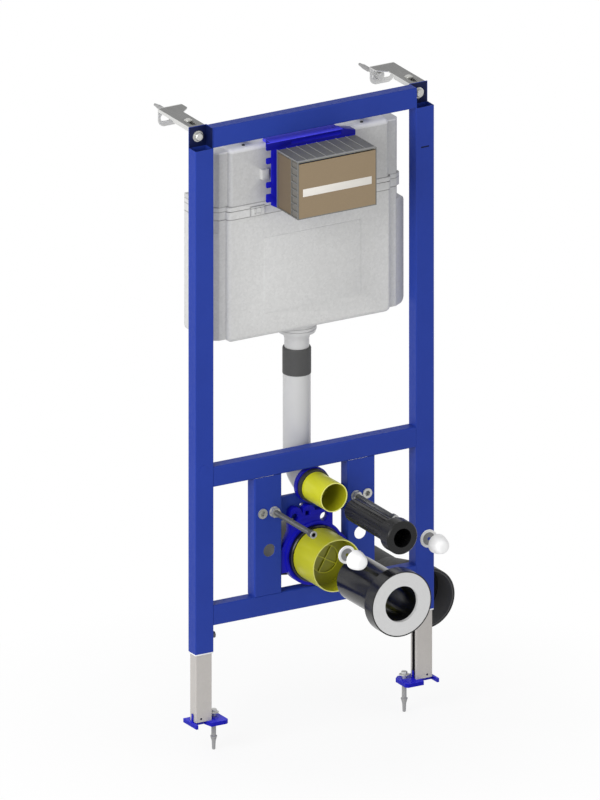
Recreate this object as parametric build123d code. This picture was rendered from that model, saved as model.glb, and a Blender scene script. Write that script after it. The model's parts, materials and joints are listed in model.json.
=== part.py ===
from build123d import *
from math import cos, radians, sin
import os

# Wall hung toilet frame. X runs to the right, Y to the wall and Z up, in millimetres.
# While the pieces are made, X 0 is the middle of the frame, Y 0 the front of the steel tubes
# and Z 0 the underside of the foot plates. At the end all move so that the origin is on the
# back face of the left wall bracket.

# Steel frame
frame_width = 525.0
frame_top = 1208.0
upright_width = 40.0
upright_depth = 28.0
upright_wall = 2.0
upright_corner = 1.5
mark_z = 1086.0
mark_length = 17.0
mark_width = 2.5
mark_depth = 0.8
button_out = 2.5
button_z = 519.0
button_r = 8.5
button_height = 0.6
rail_height = 41.0
rail_depth = 26.0
rail_wall = 2.0
rail_corner = 3.0
smallest_corner = 0.5
bottom_rail_z = 199.5
middle_rail_z = 480.0
post_inner_x = 72.5
post_width = 60.0
post_wall = 2.0
post_hole_r = 13.0
post_hole_x = 100.0
post_hole_z = 330.0

# Telescopic legs and feet
leg_extension = 139.0
leg_length = 330.0
leg_wall = 2.0
leg_slot = 11.0
leg_clearance = 0.5
leg_corner = 1.5
leg_hole_r = 2.3
leg_hole_up = 6.3
leg_hole_out = 6.0
foot_height = 8.0
foot_sheet = 3.0
foot_rim = 4.5
foot_front_y = -11.0
foot_back_y = 39.0
foot_inner_reach = 47.5
foot_chamfer = 9.0
foot_notch_back_y = 11.0
foot_notch_inset = 9.0
foot_side_sheet = 2.0
foot_tab_height = 15.0
foot_tab_width = 6.0
foot_tab_sheet = 1.5
foot_tab_gap = 0.3
foot_bolt_inset = 33.0
foot_bolt_y = 22.6
foot_bolt_r = 4.0
foot_hole_clearance = 0.3
foot_washer_r = 10.0
foot_washer_height = 2.0
foot_cone_r = 6.5
foot_cone_height = 3.0
foot_head_across = 11.0
foot_head_height = 9.0
anchor_r = 4.6
anchor_tip_r = 3.2
anchor_depth = 60.0
anchor_fin_z = -36.5
anchor_fin_r = 6.8
anchor_fin_rise = 6.0
anchor_fin_back = 2.0
anchor_waist = 0.6
anchor_tip_edge = 1.0

# Clamp screws that hold the legs
clamp_z = 179.0
clamp_r = 4.0
clamp_head_r = 6.5
clamp_head_height = 5.3
clamp_recess_r = 3.2
clamp_recess_depth = 3.3
clamp_before_slot = 1.0
clamp_tip_gap = 0.3
screw_clearance = 0.15

# Wall brackets
wall_distance = 150.0
bracket_sheet = 2.5
bracket_below_top = 0.5
bracket_flange_width = 52.0
bracket_flange_height = 37.5
bracket_flange_corner = 14.0
bracket_plate_depth = 23.0
bracket_slant_depth = 16.0
bracket_plate_corner = 6.0
bracket_neck_width = 33.0
bracket_lip = 7.0
bracket_lip_front_y = 62.0
bracket_tab_height = 42.0
bracket_arm_back_y = 92.0
bracket_arm_height = 7.5
bracket_arm_sheet = 2.0
bracket_slot_width = 12.5
bracket_slot_front_y = 34.0
bracket_slot_back_y = 73.0
bracket_bolt_r = 5.0
bracket_washer_r = 11.0
bracket_head_r = 8.0
bracket_head_height = 6.0
bracket_washer_height = 2.0
bracket_nut_across = 16.0
bracket_nut_height = 8.0
bracket_bolt_past_nut = 4.0
head_edge = 1.5
slot_bolt_y = 63.0
slot_bolt_r = 4.0
slot_washer_r = 8.0
slot_washer_height = 1.0
slot_head_r = 6.0
slot_head_height = 3.5
slot_nut_across = 13.0
slot_nut_height = 6.0
slot_bolt_past_nut = 3.0
wall_slot_length = 42.0
wall_slot_width = 14.0
wall_slot_up = -1.5
wall_screw_r = 4.0
wall_screw_in = 8.0
wall_washer_r = 12.0
wall_washer_height = 2.0
wall_head_across = 13.0
wall_head_height = 6.0
wall_plug_r = 4.5
wall_plug_length = 70.0
wall_plug_collar = 20.0
wall_plug_waist_length = 12.0
wall_plug_tail = 16.0
wall_plug_taper = 6.0
wall_plug_step = 2.0
wall_plug_waist = 1.0
origin_drop = 32.5

# Toilet fixing studs
stud_spacing = 180.0
stud_spacing_wide = 230.0
stud_z = 407.0
stud_r = 5.5
stud_tip_y = -152.0
stud_collar_r = 7.0
stud_collar_length = 12.0
stud_hex = 6.0
stud_hex_depth = 5.0
stud_past_rail = 12.0
stud_nut_across = 18.0
stud_nut_height = 8.0
stud_washer_r = 10.5
stud_washer_height = 2.0
insert_flange_r = 10.0
insert_flange_height = 2.0
insert_hex = 10.0
insert_hex_depth = 6.0
insert_past_rail = 4.0

# Water ways
flush_above_studs = 35.0
waste_below_studs = 100.0
flush_pipe_r = 26.75
flush_pipe_wall = 2.5
flush_pipe_y = 69.0
flush_bend_r = 46.0
flush_front_y = 8.0
cuff_height = 53.0
cuff_r = 27.6
cuff_edge = 3.0
cuff_edge_in = 1.5
neck_r = 24.0
neck_wall = 2.5
neck_below_cuff = 15.0
neck_show = 31.0
neck_collar = 3.0
neck_collar_height = 14.0
neck_collar_straight = 4.0
outlet_flange_r = 38.2
outlet_flange_foot_r = 36.0
outlet_flange_height = 21.0
outlet_foot_height = 7.0
outlet_groove = 1.2
outlet_groove_depth = 1.5
outlet_groove_pitch = 6.5
pipe_clearance = 0.2

flush_plug_r = 29.35
flush_plug_front_y = -73.0
flush_plug_back_y = -2.0
flush_seal_r = 33.5
flush_clamp_r = 36.0
flush_clamp_depth = 15.0
plug_wall = 2.0
plug_spigot = 10.0
plug_floor = 3.0

waste_pipe_r = 45.0
waste_pipe_wall = 4.5
waste_socket_r = 57.0
waste_socket_front_y = -10.0
waste_socket_back_y = 34.0
waste_socket_edge = 2.0
waste_bend_r = 68.0
waste_bend_y = 62.0
waste_plug_r = 52.5
waste_plug_front_y = -84.0
waste_plug_disc_y = -36.0
plug_rib_height = 3.0
plug_rib_width = 2.0
plug_rib_ring_r = 29.0
plug_rib_turn = 30.0

# Blue holder of the waste socket
holder_front_y = 3.0
holder_depth = 14.5
holder_half_top = 41.0
holder_top = 85.0
holder_waist = 49.0
holder_flare = 26.0
holder_slope = 0.33
holder_bottom = 30.0
holder_side_clearance = 0.2
holder_collar_r = 64.0
holder_collar_height = 4.0
holder_lug_r = 13.0
holder_lug_x = (-40.0, -11.0)
holder_hole_x = (-42.0, 22.5)
holder_hole_r = (8.0, 9.0)
holder_hole_down = (7.5, 16.0)
holder_square = 9.0
holder_square_x = -14.4
holder_square_down = 3.0

# Sheet cross member between the posts
cross_top_z = 426.0
cross_bottom_z = 378.0
cross_front_y = 18.0
cross_sheet = 2.0
cross_lip = 8.0
cross_notch_r = flush_pipe_r + 2.0

# Cistern
cistern_front_y = 19.0
cistern_back_y = 115.0
cistern_half = 180.0
cistern_below_rail = 17.0
cistern_height = 393.0
cistern_lower_height = 249.0
cistern_corner = 12.0
cistern_edge = 9.0
cistern_upper_half = 176.0
wing_front_y = 28.0
wing_straight_half = 194.0
wing_half = 201.0
wing_chamfer_y = 36.0
wing_wide_half = 221.0
wing_wide_chamfer_y = 45.0
wing_wide_height = 217.0
wing_above_bottom = 6.0
wing_below_top = 7.0
ear_front_y = 90.0
ear_rise = 35.0
band_height = 26.0
band_reach = 1.0
band_groove_up = 16.0
band_groove = 1.2
band_wing_half = 206.0
panel_half = 106.0
panel_middle_x = 5.0
panel_above_bottom = 48.0
panel_height = 152.0
panel_reach = 0.8
clip_left_x = -132.0
clip_right_x = -101.0
clip_reach = 3.0
clip_above_seam = 1.0
clip_height = 19.0
catch_left_x = -109.5
catch_right_x = -95.0
catch_front_y = 10.0
catch_below_top = 51.0
catch_height = 20.0
hook_x = 130.0
hook_width = 16.0
hook_sheet = 2.0
hook_reach = 28.0
hook_rise = 10.0

# Actuator opening with its protection box
box_half = 86.5
box_below_cistern_top = 9.0
box_height = 117.5
box_front_y = -85.5
box_wall = 2.0
box_lid = 3.0
box_lid_gap = 2.5
box_ribs = 9
box_rib_width = 1.2
box_rib_height = 1.0
box_bar_depth = 5.0
box_post_width = 3.0
box_grid_depth = 27.0
box_rungs = 8
base_front_y = -4.5
base_depth = 22.5
base_left_past_box = 11.5
base_right_past_box = 0.5
base_body_inset = 2.5
base_back_wall = 3.0
base_panel_inset = 1.0
base_panel_side = 32.0
base_panel_down = 4.0
base_panel_height = 6.5
base_above_box = 16.0
base_bar_height = 15.0
base_slope_length = 29.0
base_slope_drop = 6.5
base_corner_rise = 6.5
base_rim = 10.0
rack_sheet = 3.0
tooth_reach = 11.0
tooth_corner = 2.5
tooth_spans = ((0.0, 15.0), (30.0, 42.0), (79.0, 90.5), (103.0, 120.0))

# Loose connection set, laid out in front of the frame
connector_front_y = -331.0
connector_back_y = -159.0
connector_flange_r = 65.5
connector_flange_length = 29.0
connector_wall = 3.0
connector_collar = 4.0
connector_collar_length = 3.0
connector_end_length = 3.0
connector_end_in = 1.5
connector_seal_r = 63.0
connector_seal_bore_r = 36.0
connector_seal_depth = 8.0
flush_connector_front_y = -334.0
flush_connector_back_y = -150.0
flush_connector_cuff_r = 33.5
flush_connector_cuff_length = 27.0
flush_connector_r = 22.5
flush_connector_bore_r = 19.0
flush_connector_edge = 2.0
flush_connector_collar = 4.0
flush_connector_collar_length = 18.0
flush_connector_end_in = 1.0
set_washer_y = -279.0
set_washer_r = 17.7
set_washer_bore_r = 5.0
set_washer_height = 3.0
set_washer_dish = 1.0
set_washer_rim = 4.2
cap_y = -323.0
cap_r = 19.3
cap_length = 27.0
cap_wall = 1.8

# Loose reducer behind the right leg
reducer_x = 270.5
reducer_z = 152.0
reducer_mouth_y = 40.0
reducer_socket_r = 60.0
reducer_socket_bore_r = 55.3
reducer_socket_length = 62.0
reducer_taper_length = 95.0
reducer_length = 272.0
reducer_wall = 3.5

# Places that follow from the sizes above
upright_x = (frame_width - upright_width) / 2
upright_inner_x = frame_width / 2 - upright_width
upright_bottom = foot_height + leg_extension
notch_z = frame_top - rail_height
leg_width = upright_width - 2 * upright_wall - 2 * leg_clearance
leg_depth = upright_depth - 2 * upright_wall - 2 * leg_clearance
leg_front_y = upright_wall + leg_clearance
leg_inner_x = upright_x - leg_width / 2
foot_bolt_x = upright_x - foot_bolt_inset
foot_hole_r = anchor_r + foot_hole_clearance
post_bottom = bottom_rail_z + rail_height
flush_z = stud_z + flush_above_studs
waste_z = stud_z - waste_below_studs
waste_bend_outer_r = waste_pipe_r + waste_pipe_wall
clamp_y = leg_front_y + (leg_depth - leg_slot) / 2 - clamp_before_slot
bracket_top_z = frame_top - bracket_below_top
bracket_under_z = bracket_top_z - bracket_sheet
bracket_arm_z = bracket_under_z - bracket_arm_height
bracket_outer_x = upright_x + bracket_neck_width / 2
bracket_flange_x = bracket_outer_x - bracket_flange_width / 2
bracket_bolt_z = notch_z + rail_height / 2
cistern_top_z = notch_z - cistern_below_rail
cistern_bottom_z = cistern_top_z - cistern_height
cistern_seam_z = cistern_bottom_z + cistern_lower_height
outlet_bottom_z = cistern_bottom_z - outlet_flange_height
flush_pipe_top_z = outlet_bottom_z - neck_show - cuff_height
box_top_z = cistern_top_z - box_below_cistern_top
box_bottom_z = box_top_z - box_height
base_left_x = -box_half - base_left_past_box
base_right_x = box_half + base_right_past_box
base_body_left_x = -box_half + base_body_inset
base_top_z = box_top_z + base_above_box
origin = (-bracket_flange_x, wall_distance, bracket_top_z - origin_drop)

# How far a cut reaches past what it cuts
past = 1.0


def block(x0, x1, y0, y1, z0, z1):
    """A box between two corners."""
    centre = Pos((x0 + x1) / 2, (y0 + y1) / 2, (z0 + z1) / 2)
    return centre * Box(abs(x1 - x0), abs(y1 - y0), abs(z1 - z0))


def rod_y(x, z, radius, y0, y1):
    """A round bar along Y."""
    return Pos(x, (y0 + y1) / 2, z) * Rot(90, 0, 0) * Cylinder(radius, abs(y1 - y0))


def rod_z(x, y, radius, z0, z1):
    """A round bar along Z."""
    return Pos(x, y, (z0 + z1) / 2) * Cylinder(radius, abs(z1 - z0))


def rod_x(y, z, radius, x0, x1):
    """A round bar along X."""
    return Pos((x0 + x1) / 2, y, z) * Rot(0, 90, 0) * Cylinder(radius, abs(x1 - x0))


def turned_y(points, x, z):
    """A round piece on an axis along Y, from (radius, y) points."""
    face = make_face(Polyline(*points, close=True))
    return Pos(x, 0, z) * revolve(face, Axis.Y)


def turned_z(points, x, y):
    """A round piece on an axis along Z, from (radius, z) points."""
    face = Plane.XZ * make_face(Polyline(*points, close=True))
    return Pos(x, y, 0) * revolve(face, Axis.Z)


def tube_section(width, depth, wall, corner):
    """The section of a rectangular tube with rounded corners."""
    inner_corner = max(corner - wall, smallest_corner)
    bore = RectangleRounded(width - 2 * wall, depth - 2 * wall, inner_corner)
    return RectangleRounded(width, depth, corner) - bore


def hex_y(x, z, across, y0, y1):
    """A hexagonal bar along Y."""
    outline = RegularPolygon(across / 2, 6, major_radius=False)
    bar = extrude(Plane.XZ * outline, amount=abs(y1 - y0))
    return Pos(x, max(y0, y1), z) * bar


def hex_z(x, y, across, z0, z1):
    """A hexagonal bar along Z."""
    return Pos(x, y, z0) * extrude(RegularPolygon(across / 2, 6, major_radius=False), amount=z1 - z0)


def plate_xz(corners, y0, y1):
    """A flat piece with its outline in X and Z, between two Y places."""
    outline = make_face(Polyline(*corners, close=True))
    return Pos(0, y1, 0) * extrude(Plane.XZ * outline, amount=y1 - y0)


def plate_xy(corners, z0, z1):
    """A flat piece with its outline in X and Y, between two Z places."""
    outline = make_face(Polyline(*corners, close=True))
    return Pos(0, 0, z0) * extrude(outline, amount=z1 - z0)


def upright(side):
    """A steel upright with its notched top and holes for the clamp screw and the bracket bolt.

    The right one has a pressed height mark near the top, the left one a round button lower down.
    """
    x = side * upright_x
    section = tube_section(upright_width, upright_depth, upright_wall, upright_corner)
    tube = extrude(Pos(x, upright_depth / 2) * section, amount=frame_top - upright_bottom)
    tube = Pos(0, 0, upright_bottom) * tube
    inner = side * (upright_inner_x + upright_wall)
    outer = side * (frame_width / 2 + past)
    tube -= block(inner, outer, -past, upright_depth - upright_wall, notch_z, frame_top + past)
    clamp_end = side * (upright_inner_x + upright_wall + past)
    clamp_start = side * (upright_inner_x - past)
    tube -= rod_x(clamp_y, clamp_z, clamp_r + screw_clearance, clamp_start, clamp_end)
    bolt_hole_r = bracket_bolt_r + screw_clearance
    hole_front = upright_depth - upright_wall - past
    tube -= rod_y(side * upright_x, bracket_bolt_z, bolt_hole_r, hole_front, upright_depth + past)
    if side > 0:
        tube -= block(
            x - mark_length / 2, x + mark_length / 2, -past, mark_depth,
            mark_z - mark_width / 2, mark_z + mark_width / 2,
        )
    else:
        tube += rod_y(x - button_out, button_z, button_r, -button_height, upright_wall)
    return tube


def rail(z):
    """A steel rail between the uprights."""
    section = tube_section(rail_depth, rail_height, rail_wall, rail_corner)
    length = 2 * upright_inner_x
    bar = extrude(Plane.YZ * section, amount=length)
    return Pos(-upright_inner_x, rail_depth / 2, z + rail_height / 2) * bar


def top_rail():
    """The top rail with the two welded hooks behind it that hold the cistern down."""
    bar = rail(notch_z)
    hook_top = cistern_top_z + hook_rise
    hook_back = rail_depth + hook_reach
    for side in (-1, 1):
        x0 = side * hook_x - hook_width / 2
        x1 = side * hook_x + hook_width / 2
        bar += block(
            x0, x1, rail_depth, rail_depth + hook_sheet,
            hook_top - hook_sheet, notch_z + rail_height / 2,
        )
        bar += block(x0, x1, rail_depth, hook_back, hook_top - hook_sheet, hook_top)
        bar += block(x0, x1, hook_back - hook_sheet, hook_back, cistern_top_z, hook_top)
    return bar


def inner_post(side):
    """A post between the lower rails, open at the back, with the holes for the studs and one round hole."""
    x = side * (post_inner_x + post_width / 2)
    section = RectangleRounded(post_width, rail_depth, rail_corner)
    section += Pos(0, rail_depth / 4) * Rectangle(post_width, rail_depth / 2)
    hollow = Rectangle(post_width - 2 * post_wall, rail_depth - post_wall + past)
    section -= Pos(0, (post_wall + past) / 2) * hollow
    post = extrude(Pos(x, rail_depth / 2) * section, amount=middle_rail_z - post_bottom)
    post = Pos(0, 0, post_bottom) * post
    post -= rod_y(side * post_hole_x, post_hole_z, post_hole_r, -past, post_wall + past)
    for spacing in (stud_spacing, stud_spacing_wide):
        post -= rod_y(side * spacing / 2, stud_z, stud_r + screw_clearance, -past, post_wall + past)
    return post


def cross_member():
    """The folded sheet between the posts, cut out round the flush bend."""
    back_y = cross_front_y + cross_lip
    sheet = block(-post_inner_x, post_inner_x, cross_front_y, back_y, cross_bottom_z, cross_top_z)
    hollow_y = cross_front_y + cross_sheet
    sheet -= block(
        -post_inner_x - past, post_inner_x + past,
        hollow_y, back_y + past,
        cross_bottom_z + cross_sheet, cross_top_z - cross_sheet,
    )
    sheet -= rod_y(0, flush_z, cross_notch_r, cross_front_y - past, back_y + past)
    return sheet


def clamp_screw(side):
    """The screw through the upright that presses on the front lip of the leg, with its hexagon head."""
    head_end = upright_inner_x - clamp_head_height
    tip = leg_inner_x - clamp_tip_gap
    screw = rod_x(clamp_y, clamp_z, clamp_r, side * upright_inner_x, side * tip)
    screw += rod_x(clamp_y, clamp_z, clamp_head_r, side * head_end, side * upright_inner_x)
    recess_end = head_end + clamp_recess_depth
    return screw - rod_x(clamp_y, clamp_z, clamp_recess_r, side * (head_end - past), side * recess_end)


def leg(side):
    """The galvanised lipped channel that slides in the upright, open to the middle."""
    x = side * upright_x
    section = RectangleRounded(leg_width, leg_depth, leg_corner)
    section -= Rectangle(leg_width - 2 * leg_wall, leg_depth - 2 * leg_wall)
    section -= Pos(-side * leg_width / 2) * Rectangle(3 * leg_wall, leg_slot)
    channel = extrude(Pos(x, leg_front_y + leg_depth / 2) * section, amount=leg_length)
    channel = Pos(0, 0, foot_height) * channel
    hole_z = foot_height + leg_hole_up
    hole_x = x + side * leg_hole_out
    channel -= rod_y(hole_x, hole_z, leg_hole_r, leg_front_y - past, leg_front_y + leg_wall + past)
    return channel


def foot_plate(side):
    """The folded foot, notched at the front, with two tabs beside the leg."""
    outer_x = frame_width / 2
    rim_x = outer_x + foot_rim
    inner_x = upright_x - foot_inner_reach
    notch_inner_x = upright_x - foot_notch_inset
    corners = [
        (rim_x, foot_front_y),
        (rim_x, foot_back_y),
        (inner_x + foot_chamfer, foot_back_y),
        (inner_x, foot_back_y - foot_chamfer),
        (inner_x, foot_front_y + foot_chamfer / 2),
        (inner_x + foot_chamfer / 2, foot_front_y),
        (notch_inner_x, foot_front_y),
        (notch_inner_x + foot_chamfer / 2, foot_notch_back_y),
        (outer_x, foot_notch_back_y),
        (outer_x, foot_front_y),
    ]
    outline = make_face(Polyline(*[(side * x, y) for x, y in corners], close=True))
    plate = extrude(outline, amount=foot_height)
    hollow = offset(outline, -foot_side_sheet, kind=Kind.INTERSECTION)
    plate -= Pos(0, 0, -past) * extrude(hollow, amount=foot_height - foot_sheet + past)
    middle = rod_z(side * foot_bolt_x, foot_bolt_y, foot_washer_r, 0, foot_height - foot_sheet)
    plate += middle
    plate -= rod_z(side * foot_bolt_x, foot_bolt_y, foot_hole_r, -past, foot_height + past)
    tab_y = leg_front_y + leg_depth / 2
    tab_top = foot_height + foot_tab_height
    outer_tab = upright_x + leg_width / 2 + foot_tab_gap
    inner_tab = leg_inner_x - foot_tab_gap
    for x0, x1 in ((outer_tab, outer_tab + foot_tab_sheet), (inner_tab - foot_tab_sheet, inner_tab)):
        plate += block(
            side * x0, side * x1,
            tab_y - foot_tab_width / 2, tab_y + foot_tab_width / 2,
            foot_height - past, tab_top,
        )
    return plate


def foot_anchor(side):
    """The bolt with a flanged head, and the plastic plug that it goes down into."""
    x = side * foot_bolt_x
    washer_top = foot_height + foot_washer_height
    cone_top = washer_top + foot_cone_height
    washer = turned_z(
        [(0, foot_height), (foot_washer_r, foot_height), (foot_washer_r, washer_top),
         (foot_cone_r, cone_top), (0, cone_top)],
        x, foot_bolt_y,
    )
    head = hex_z(x, foot_bolt_y, foot_head_across, cone_top, cone_top + foot_head_height)
    shank = rod_z(x, foot_bolt_y, foot_bolt_r, 0, foot_height)
    waist_z = anchor_fin_z - anchor_fin_rise
    plug = turned_z(
        [(0, 0), (anchor_r, 0), (anchor_r, anchor_fin_z + anchor_fin_rise),
         (anchor_fin_r, anchor_fin_z + anchor_fin_rise - anchor_fin_back),
         (anchor_r - anchor_waist, waist_z), (anchor_tip_r + anchor_waist, waist_z - anchor_fin_back),
         (anchor_tip_r, anchor_tip_edge - anchor_depth), (anchor_tip_r - anchor_tip_edge, -anchor_depth),
         (0, -anchor_depth)],
        x, foot_bolt_y,
    )
    return washer + head + shank + plug


def wall_bracket(side):
    """The folded bracket: a flange on the wall, a plate with a slotted neck, and a tab on the upright."""
    outer = bracket_outer_x
    inner = outer - bracket_flange_width
    neck_inner = outer - bracket_neck_width
    top = bracket_top_z
    plate_front = wall_distance - bracket_plate_depth
    slant_front = plate_front - bracket_slant_depth
    corners = [
        (outer, upright_depth),
        (outer, wall_distance),
        (inner, wall_distance),
        (inner, plate_front),
        (neck_inner, slant_front),
        (neck_inner, upright_depth),
    ]
    outline = make_face(Polyline(*[(side * x, y) for x, y in corners], close=True))
    rounded = [v for v in outline.vertices() if slant_front - past < v.Y < plate_front + past]
    outline = fillet(rounded, bracket_plate_corner)
    slot_y = (bracket_slot_front_y + bracket_slot_back_y) / 2
    slot_length = bracket_slot_back_y - bracket_slot_front_y
    slot = Rot(0, 0, 90) * SlotOverall(slot_length, bracket_slot_width)
    outline -= Pos(side * upright_x, slot_y) * slot
    bracket = Pos(0, 0, bracket_under_z) * extrude(outline, amount=bracket_sheet)
    flange = RectangleRounded(bracket_flange_width, bracket_flange_height, bracket_flange_corner)
    square_top = Pos(0, bracket_flange_height / 4)
    flange += square_top * Rectangle(bracket_flange_width, bracket_flange_height / 2)
    flange -= Pos(0, wall_slot_up) * SlotOverall(wall_slot_length, wall_slot_width)
    flange_z = top - bracket_flange_height / 2
    place = Pos(side * bracket_flange_x, wall_distance, flange_z)
    bracket += place * extrude(Plane.XZ * flange, amount=bracket_sheet)
    bracket += block(
        side * (outer - bracket_sheet), side * outer,
        bracket_lip_front_y, wall_distance - bracket_sheet,
        top - bracket_lip, top,
    )
    tab = block(
        side * neck_inner, side * outer,
        upright_depth, upright_depth + bracket_sheet,
        top - bracket_tab_height, top,
    )
    hole_r = bracket_bolt_r + screw_clearance
    tab_back = upright_depth + bracket_sheet
    tab -= rod_y(side * upright_x, bracket_bolt_z, hole_r, upright_depth - past, tab_back + past)
    arm = block(
        side * neck_inner, side * outer,
        upright_depth, bracket_arm_back_y,
        bracket_arm_z, bracket_under_z,
    )
    arm -= block(
        side * (neck_inner + bracket_arm_sheet), side * (outer - bracket_arm_sheet),
        tab_back, bracket_arm_back_y + past,
        bracket_arm_z + bracket_arm_sheet, bracket_top_z,
    )
    bolt_hole_r = slot_bolt_r + screw_clearance
    arm -= rod_z(side * upright_x, slot_bolt_y, bolt_hole_r, bracket_arm_z - past, bracket_top_z)
    return bracket + tab + arm


def bracket_bolt(side):
    """The round headed bolt in the notch of the upright, with its washer, and the nut behind."""
    x = side * upright_x
    z = bracket_bolt_z
    seat_y = upright_depth - upright_wall
    washer_y = seat_y - bracket_washer_height
    nut_y = upright_depth + bracket_sheet
    nut_back = nut_y + bracket_nut_height
    head_y = washer_y - bracket_head_height
    head = turned_y(
        [(0, head_y), (bracket_head_r - head_edge, head_y), (bracket_head_r, head_y + head_edge),
         (bracket_head_r, washer_y), (bracket_washer_r, washer_y), (bracket_washer_r, seat_y), (0, seat_y)],
        x, z,
    )
    shank = rod_y(x, z, bracket_bolt_r, seat_y - past, nut_back + bracket_bolt_past_nut)
    return head + shank + hex_y(x, z, bracket_nut_across, nut_y, nut_back)


def slot_bolt(side):
    """The bolt through the slot of the neck and the arm below, with its washer on top and the nut below."""
    x = side * upright_x
    top = bracket_top_z
    washer_top = top + slot_washer_height
    head_top = top + slot_head_height
    head = turned_z(
        [(0, top), (slot_washer_r, top), (slot_washer_r, washer_top), (slot_head_r, washer_top),
         (slot_head_r, head_top - head_edge), (slot_head_r - head_edge, head_top), (0, head_top)],
        x, slot_bolt_y,
    )
    nut_bottom = bracket_arm_z - slot_nut_height
    shank = rod_z(x, slot_bolt_y, slot_bolt_r, nut_bottom - slot_bolt_past_nut, washer_top)
    return head + shank + hex_z(x, slot_bolt_y, slot_nut_across, nut_bottom, bracket_arm_z)


def wall_screw(side):
    """The screw and washer in the slot of the flange, and the plug in the wall."""
    x = side * (bracket_flange_x - wall_screw_in)
    z = bracket_top_z - bracket_flange_height / 2 + wall_slot_up
    face = wall_distance - bracket_sheet
    washer_face = face - wall_washer_height
    screw = rod_y(x, z, wall_screw_r, face, wall_distance)
    screw += rod_y(x, z, wall_washer_r, washer_face, face)
    screw += hex_y(x, z, wall_head_across, washer_face - wall_head_height, washer_face)
    waist = wall_plug_r - wall_plug_waist
    collar_end = wall_distance + wall_plug_collar
    waist_start = collar_end + wall_plug_step
    waist_end = waist_start + wall_plug_waist_length
    back = wall_distance + wall_plug_length
    screw += turned_y(
        [(0, wall_distance), (wall_plug_r, wall_distance), (wall_plug_r, collar_end),
         (waist, waist_start), (waist, waist_end), (wall_plug_r, waist_end + wall_plug_step),
         (wall_plug_r, back - wall_plug_tail), (waist, back - wall_plug_tail + wall_plug_taper),
         (waist - wall_plug_waist, back), (0, back)],
        x, z,
    )
    return screw


def stud(side):
    """The long sleeve that carries the toilet, with a collar and a hexagon socket at its tip."""
    x = side * stud_spacing / 2
    collar_back = stud_tip_y + stud_collar_length
    bar = rod_y(x, stud_z, stud_r, stud_tip_y, rail_depth + stud_past_rail)
    bar += rod_y(x, stud_z, stud_collar_r, stud_tip_y, collar_back)
    bar -= hex_y(x, stud_z, stud_hex, stud_tip_y - past, stud_tip_y + stud_hex_depth)
    return bar


def stud_nut(side):
    """The nut and washer that hold the stud to the front of the post."""
    x = side * stud_spacing / 2
    nut_front = -stud_washer_height - stud_nut_height
    nut = hex_y(x, stud_z, stud_nut_across, nut_front, -stud_washer_height)
    nut += rod_y(x, stud_z, stud_washer_r, -stud_washer_height, 0)
    return nut - rod_y(x, stud_z, stud_r + screw_clearance, nut_front - past, past)


def back_nut(side):
    """The nut behind the post that the stud is screwed through."""
    x = side * stud_spacing / 2
    nut_back = post_wall + stud_nut_height
    nut = hex_y(x, stud_z, stud_nut_across, post_wall, nut_back)
    return nut - rod_y(x, stud_z, stud_r + screw_clearance, post_wall - past, nut_back + past)


def stud_insert(side):
    """The threaded insert at the wider stud place, with its flange, hexagon hole and nut."""
    x = side * stud_spacing_wide / 2
    insert = rod_y(x, stud_z, stud_r, 0, rail_depth + insert_past_rail)
    insert += rod_y(x, stud_z, insert_flange_r, -insert_flange_height, 0)
    insert += hex_y(x, stud_z, stud_nut_across, post_wall, post_wall + stud_nut_height)
    return insert - hex_y(x, stud_z, insert_hex, -insert_flange_height - past, insert_hex_depth)


def flush_pipe():
    """The flush pipe: straight down, a bend and the short stretch to the front."""
    path = Line((0, flush_pipe_y, flush_pipe_top_z), (0, flush_pipe_y, flush_z + flush_bend_r))
    bend_front = flush_pipe_y - flush_bend_r
    along = cos(radians(45)) * flush_bend_r
    middle = (0, bend_front + along, flush_z + flush_bend_r - along)
    path += ThreePointArc((0, flush_pipe_y, flush_z + flush_bend_r), middle, (0, bend_front, flush_z))
    path += Line((0, bend_front, flush_z), (0, flush_front_y, flush_z))
    ring = Circle(flush_pipe_r) - Circle(flush_pipe_r - flush_pipe_wall)
    start = Plane((0, flush_pipe_y, flush_pipe_top_z), x_dir=(1, 0, 0), z_dir=(0, 0, -1))
    return sweep(start * ring, path=path)


def pipe_cuff():
    """The rubber cuff between the cistern outlet and the flush pipe."""
    top = flush_pipe_top_z + cuff_height
    bore = neck_r + pipe_clearance
    return turned_z(
        [(bore, flush_pipe_top_z), (cuff_r, flush_pipe_top_z), (cuff_r, top - cuff_edge),
         (cuff_r - cuff_edge_in, top), (bore, top)],
        0, flush_pipe_y,
    )


def outlet_neck():
    """The cistern outlet: a flange with two grooves under the cistern and the neck in the pipe."""
    foot = outlet_bottom_z
    low_groove = foot + outlet_foot_height
    flange = outlet_flange_r
    groove_r = flange - outlet_groove_depth
    outline = [
        (neck_r - neck_wall, flush_pipe_top_z - neck_below_cuff),
        (neck_r, flush_pipe_top_z - neck_below_cuff),
        (neck_r, foot - neck_collar_height),
        (neck_r + neck_collar, foot - neck_collar_straight),
        (neck_r + neck_collar, foot),
        (outlet_flange_foot_r, foot),
    ]
    for groove in (low_groove, low_groove + outlet_groove_pitch):
        outline += [
            (flange, groove), (groove_r, groove),
            (groove_r, groove + outlet_groove), (flange, groove + outlet_groove),
        ]
    outline += [(flange, cistern_bottom_z), (neck_r - neck_wall, cistern_bottom_z)]
    return turned_z(outline, 0, flush_pipe_y)


def flush_plug():
    """The yellow building plug in the flush outlet: an open cup with a spigot behind."""
    r = flush_plug_r
    floor_y = flush_plug_back_y - plug_floor
    return turned_y(
        [(0, floor_y), (r - plug_wall, floor_y), (r - plug_wall, flush_plug_front_y),
         (r, flush_plug_front_y), (r, flush_plug_back_y),
         (flush_spigot_r(), flush_plug_back_y), (flush_spigot_r(), flush_front_y + plug_spigot),
         (0, flush_front_y + plug_spigot)],
        0, flush_z,
    )


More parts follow.
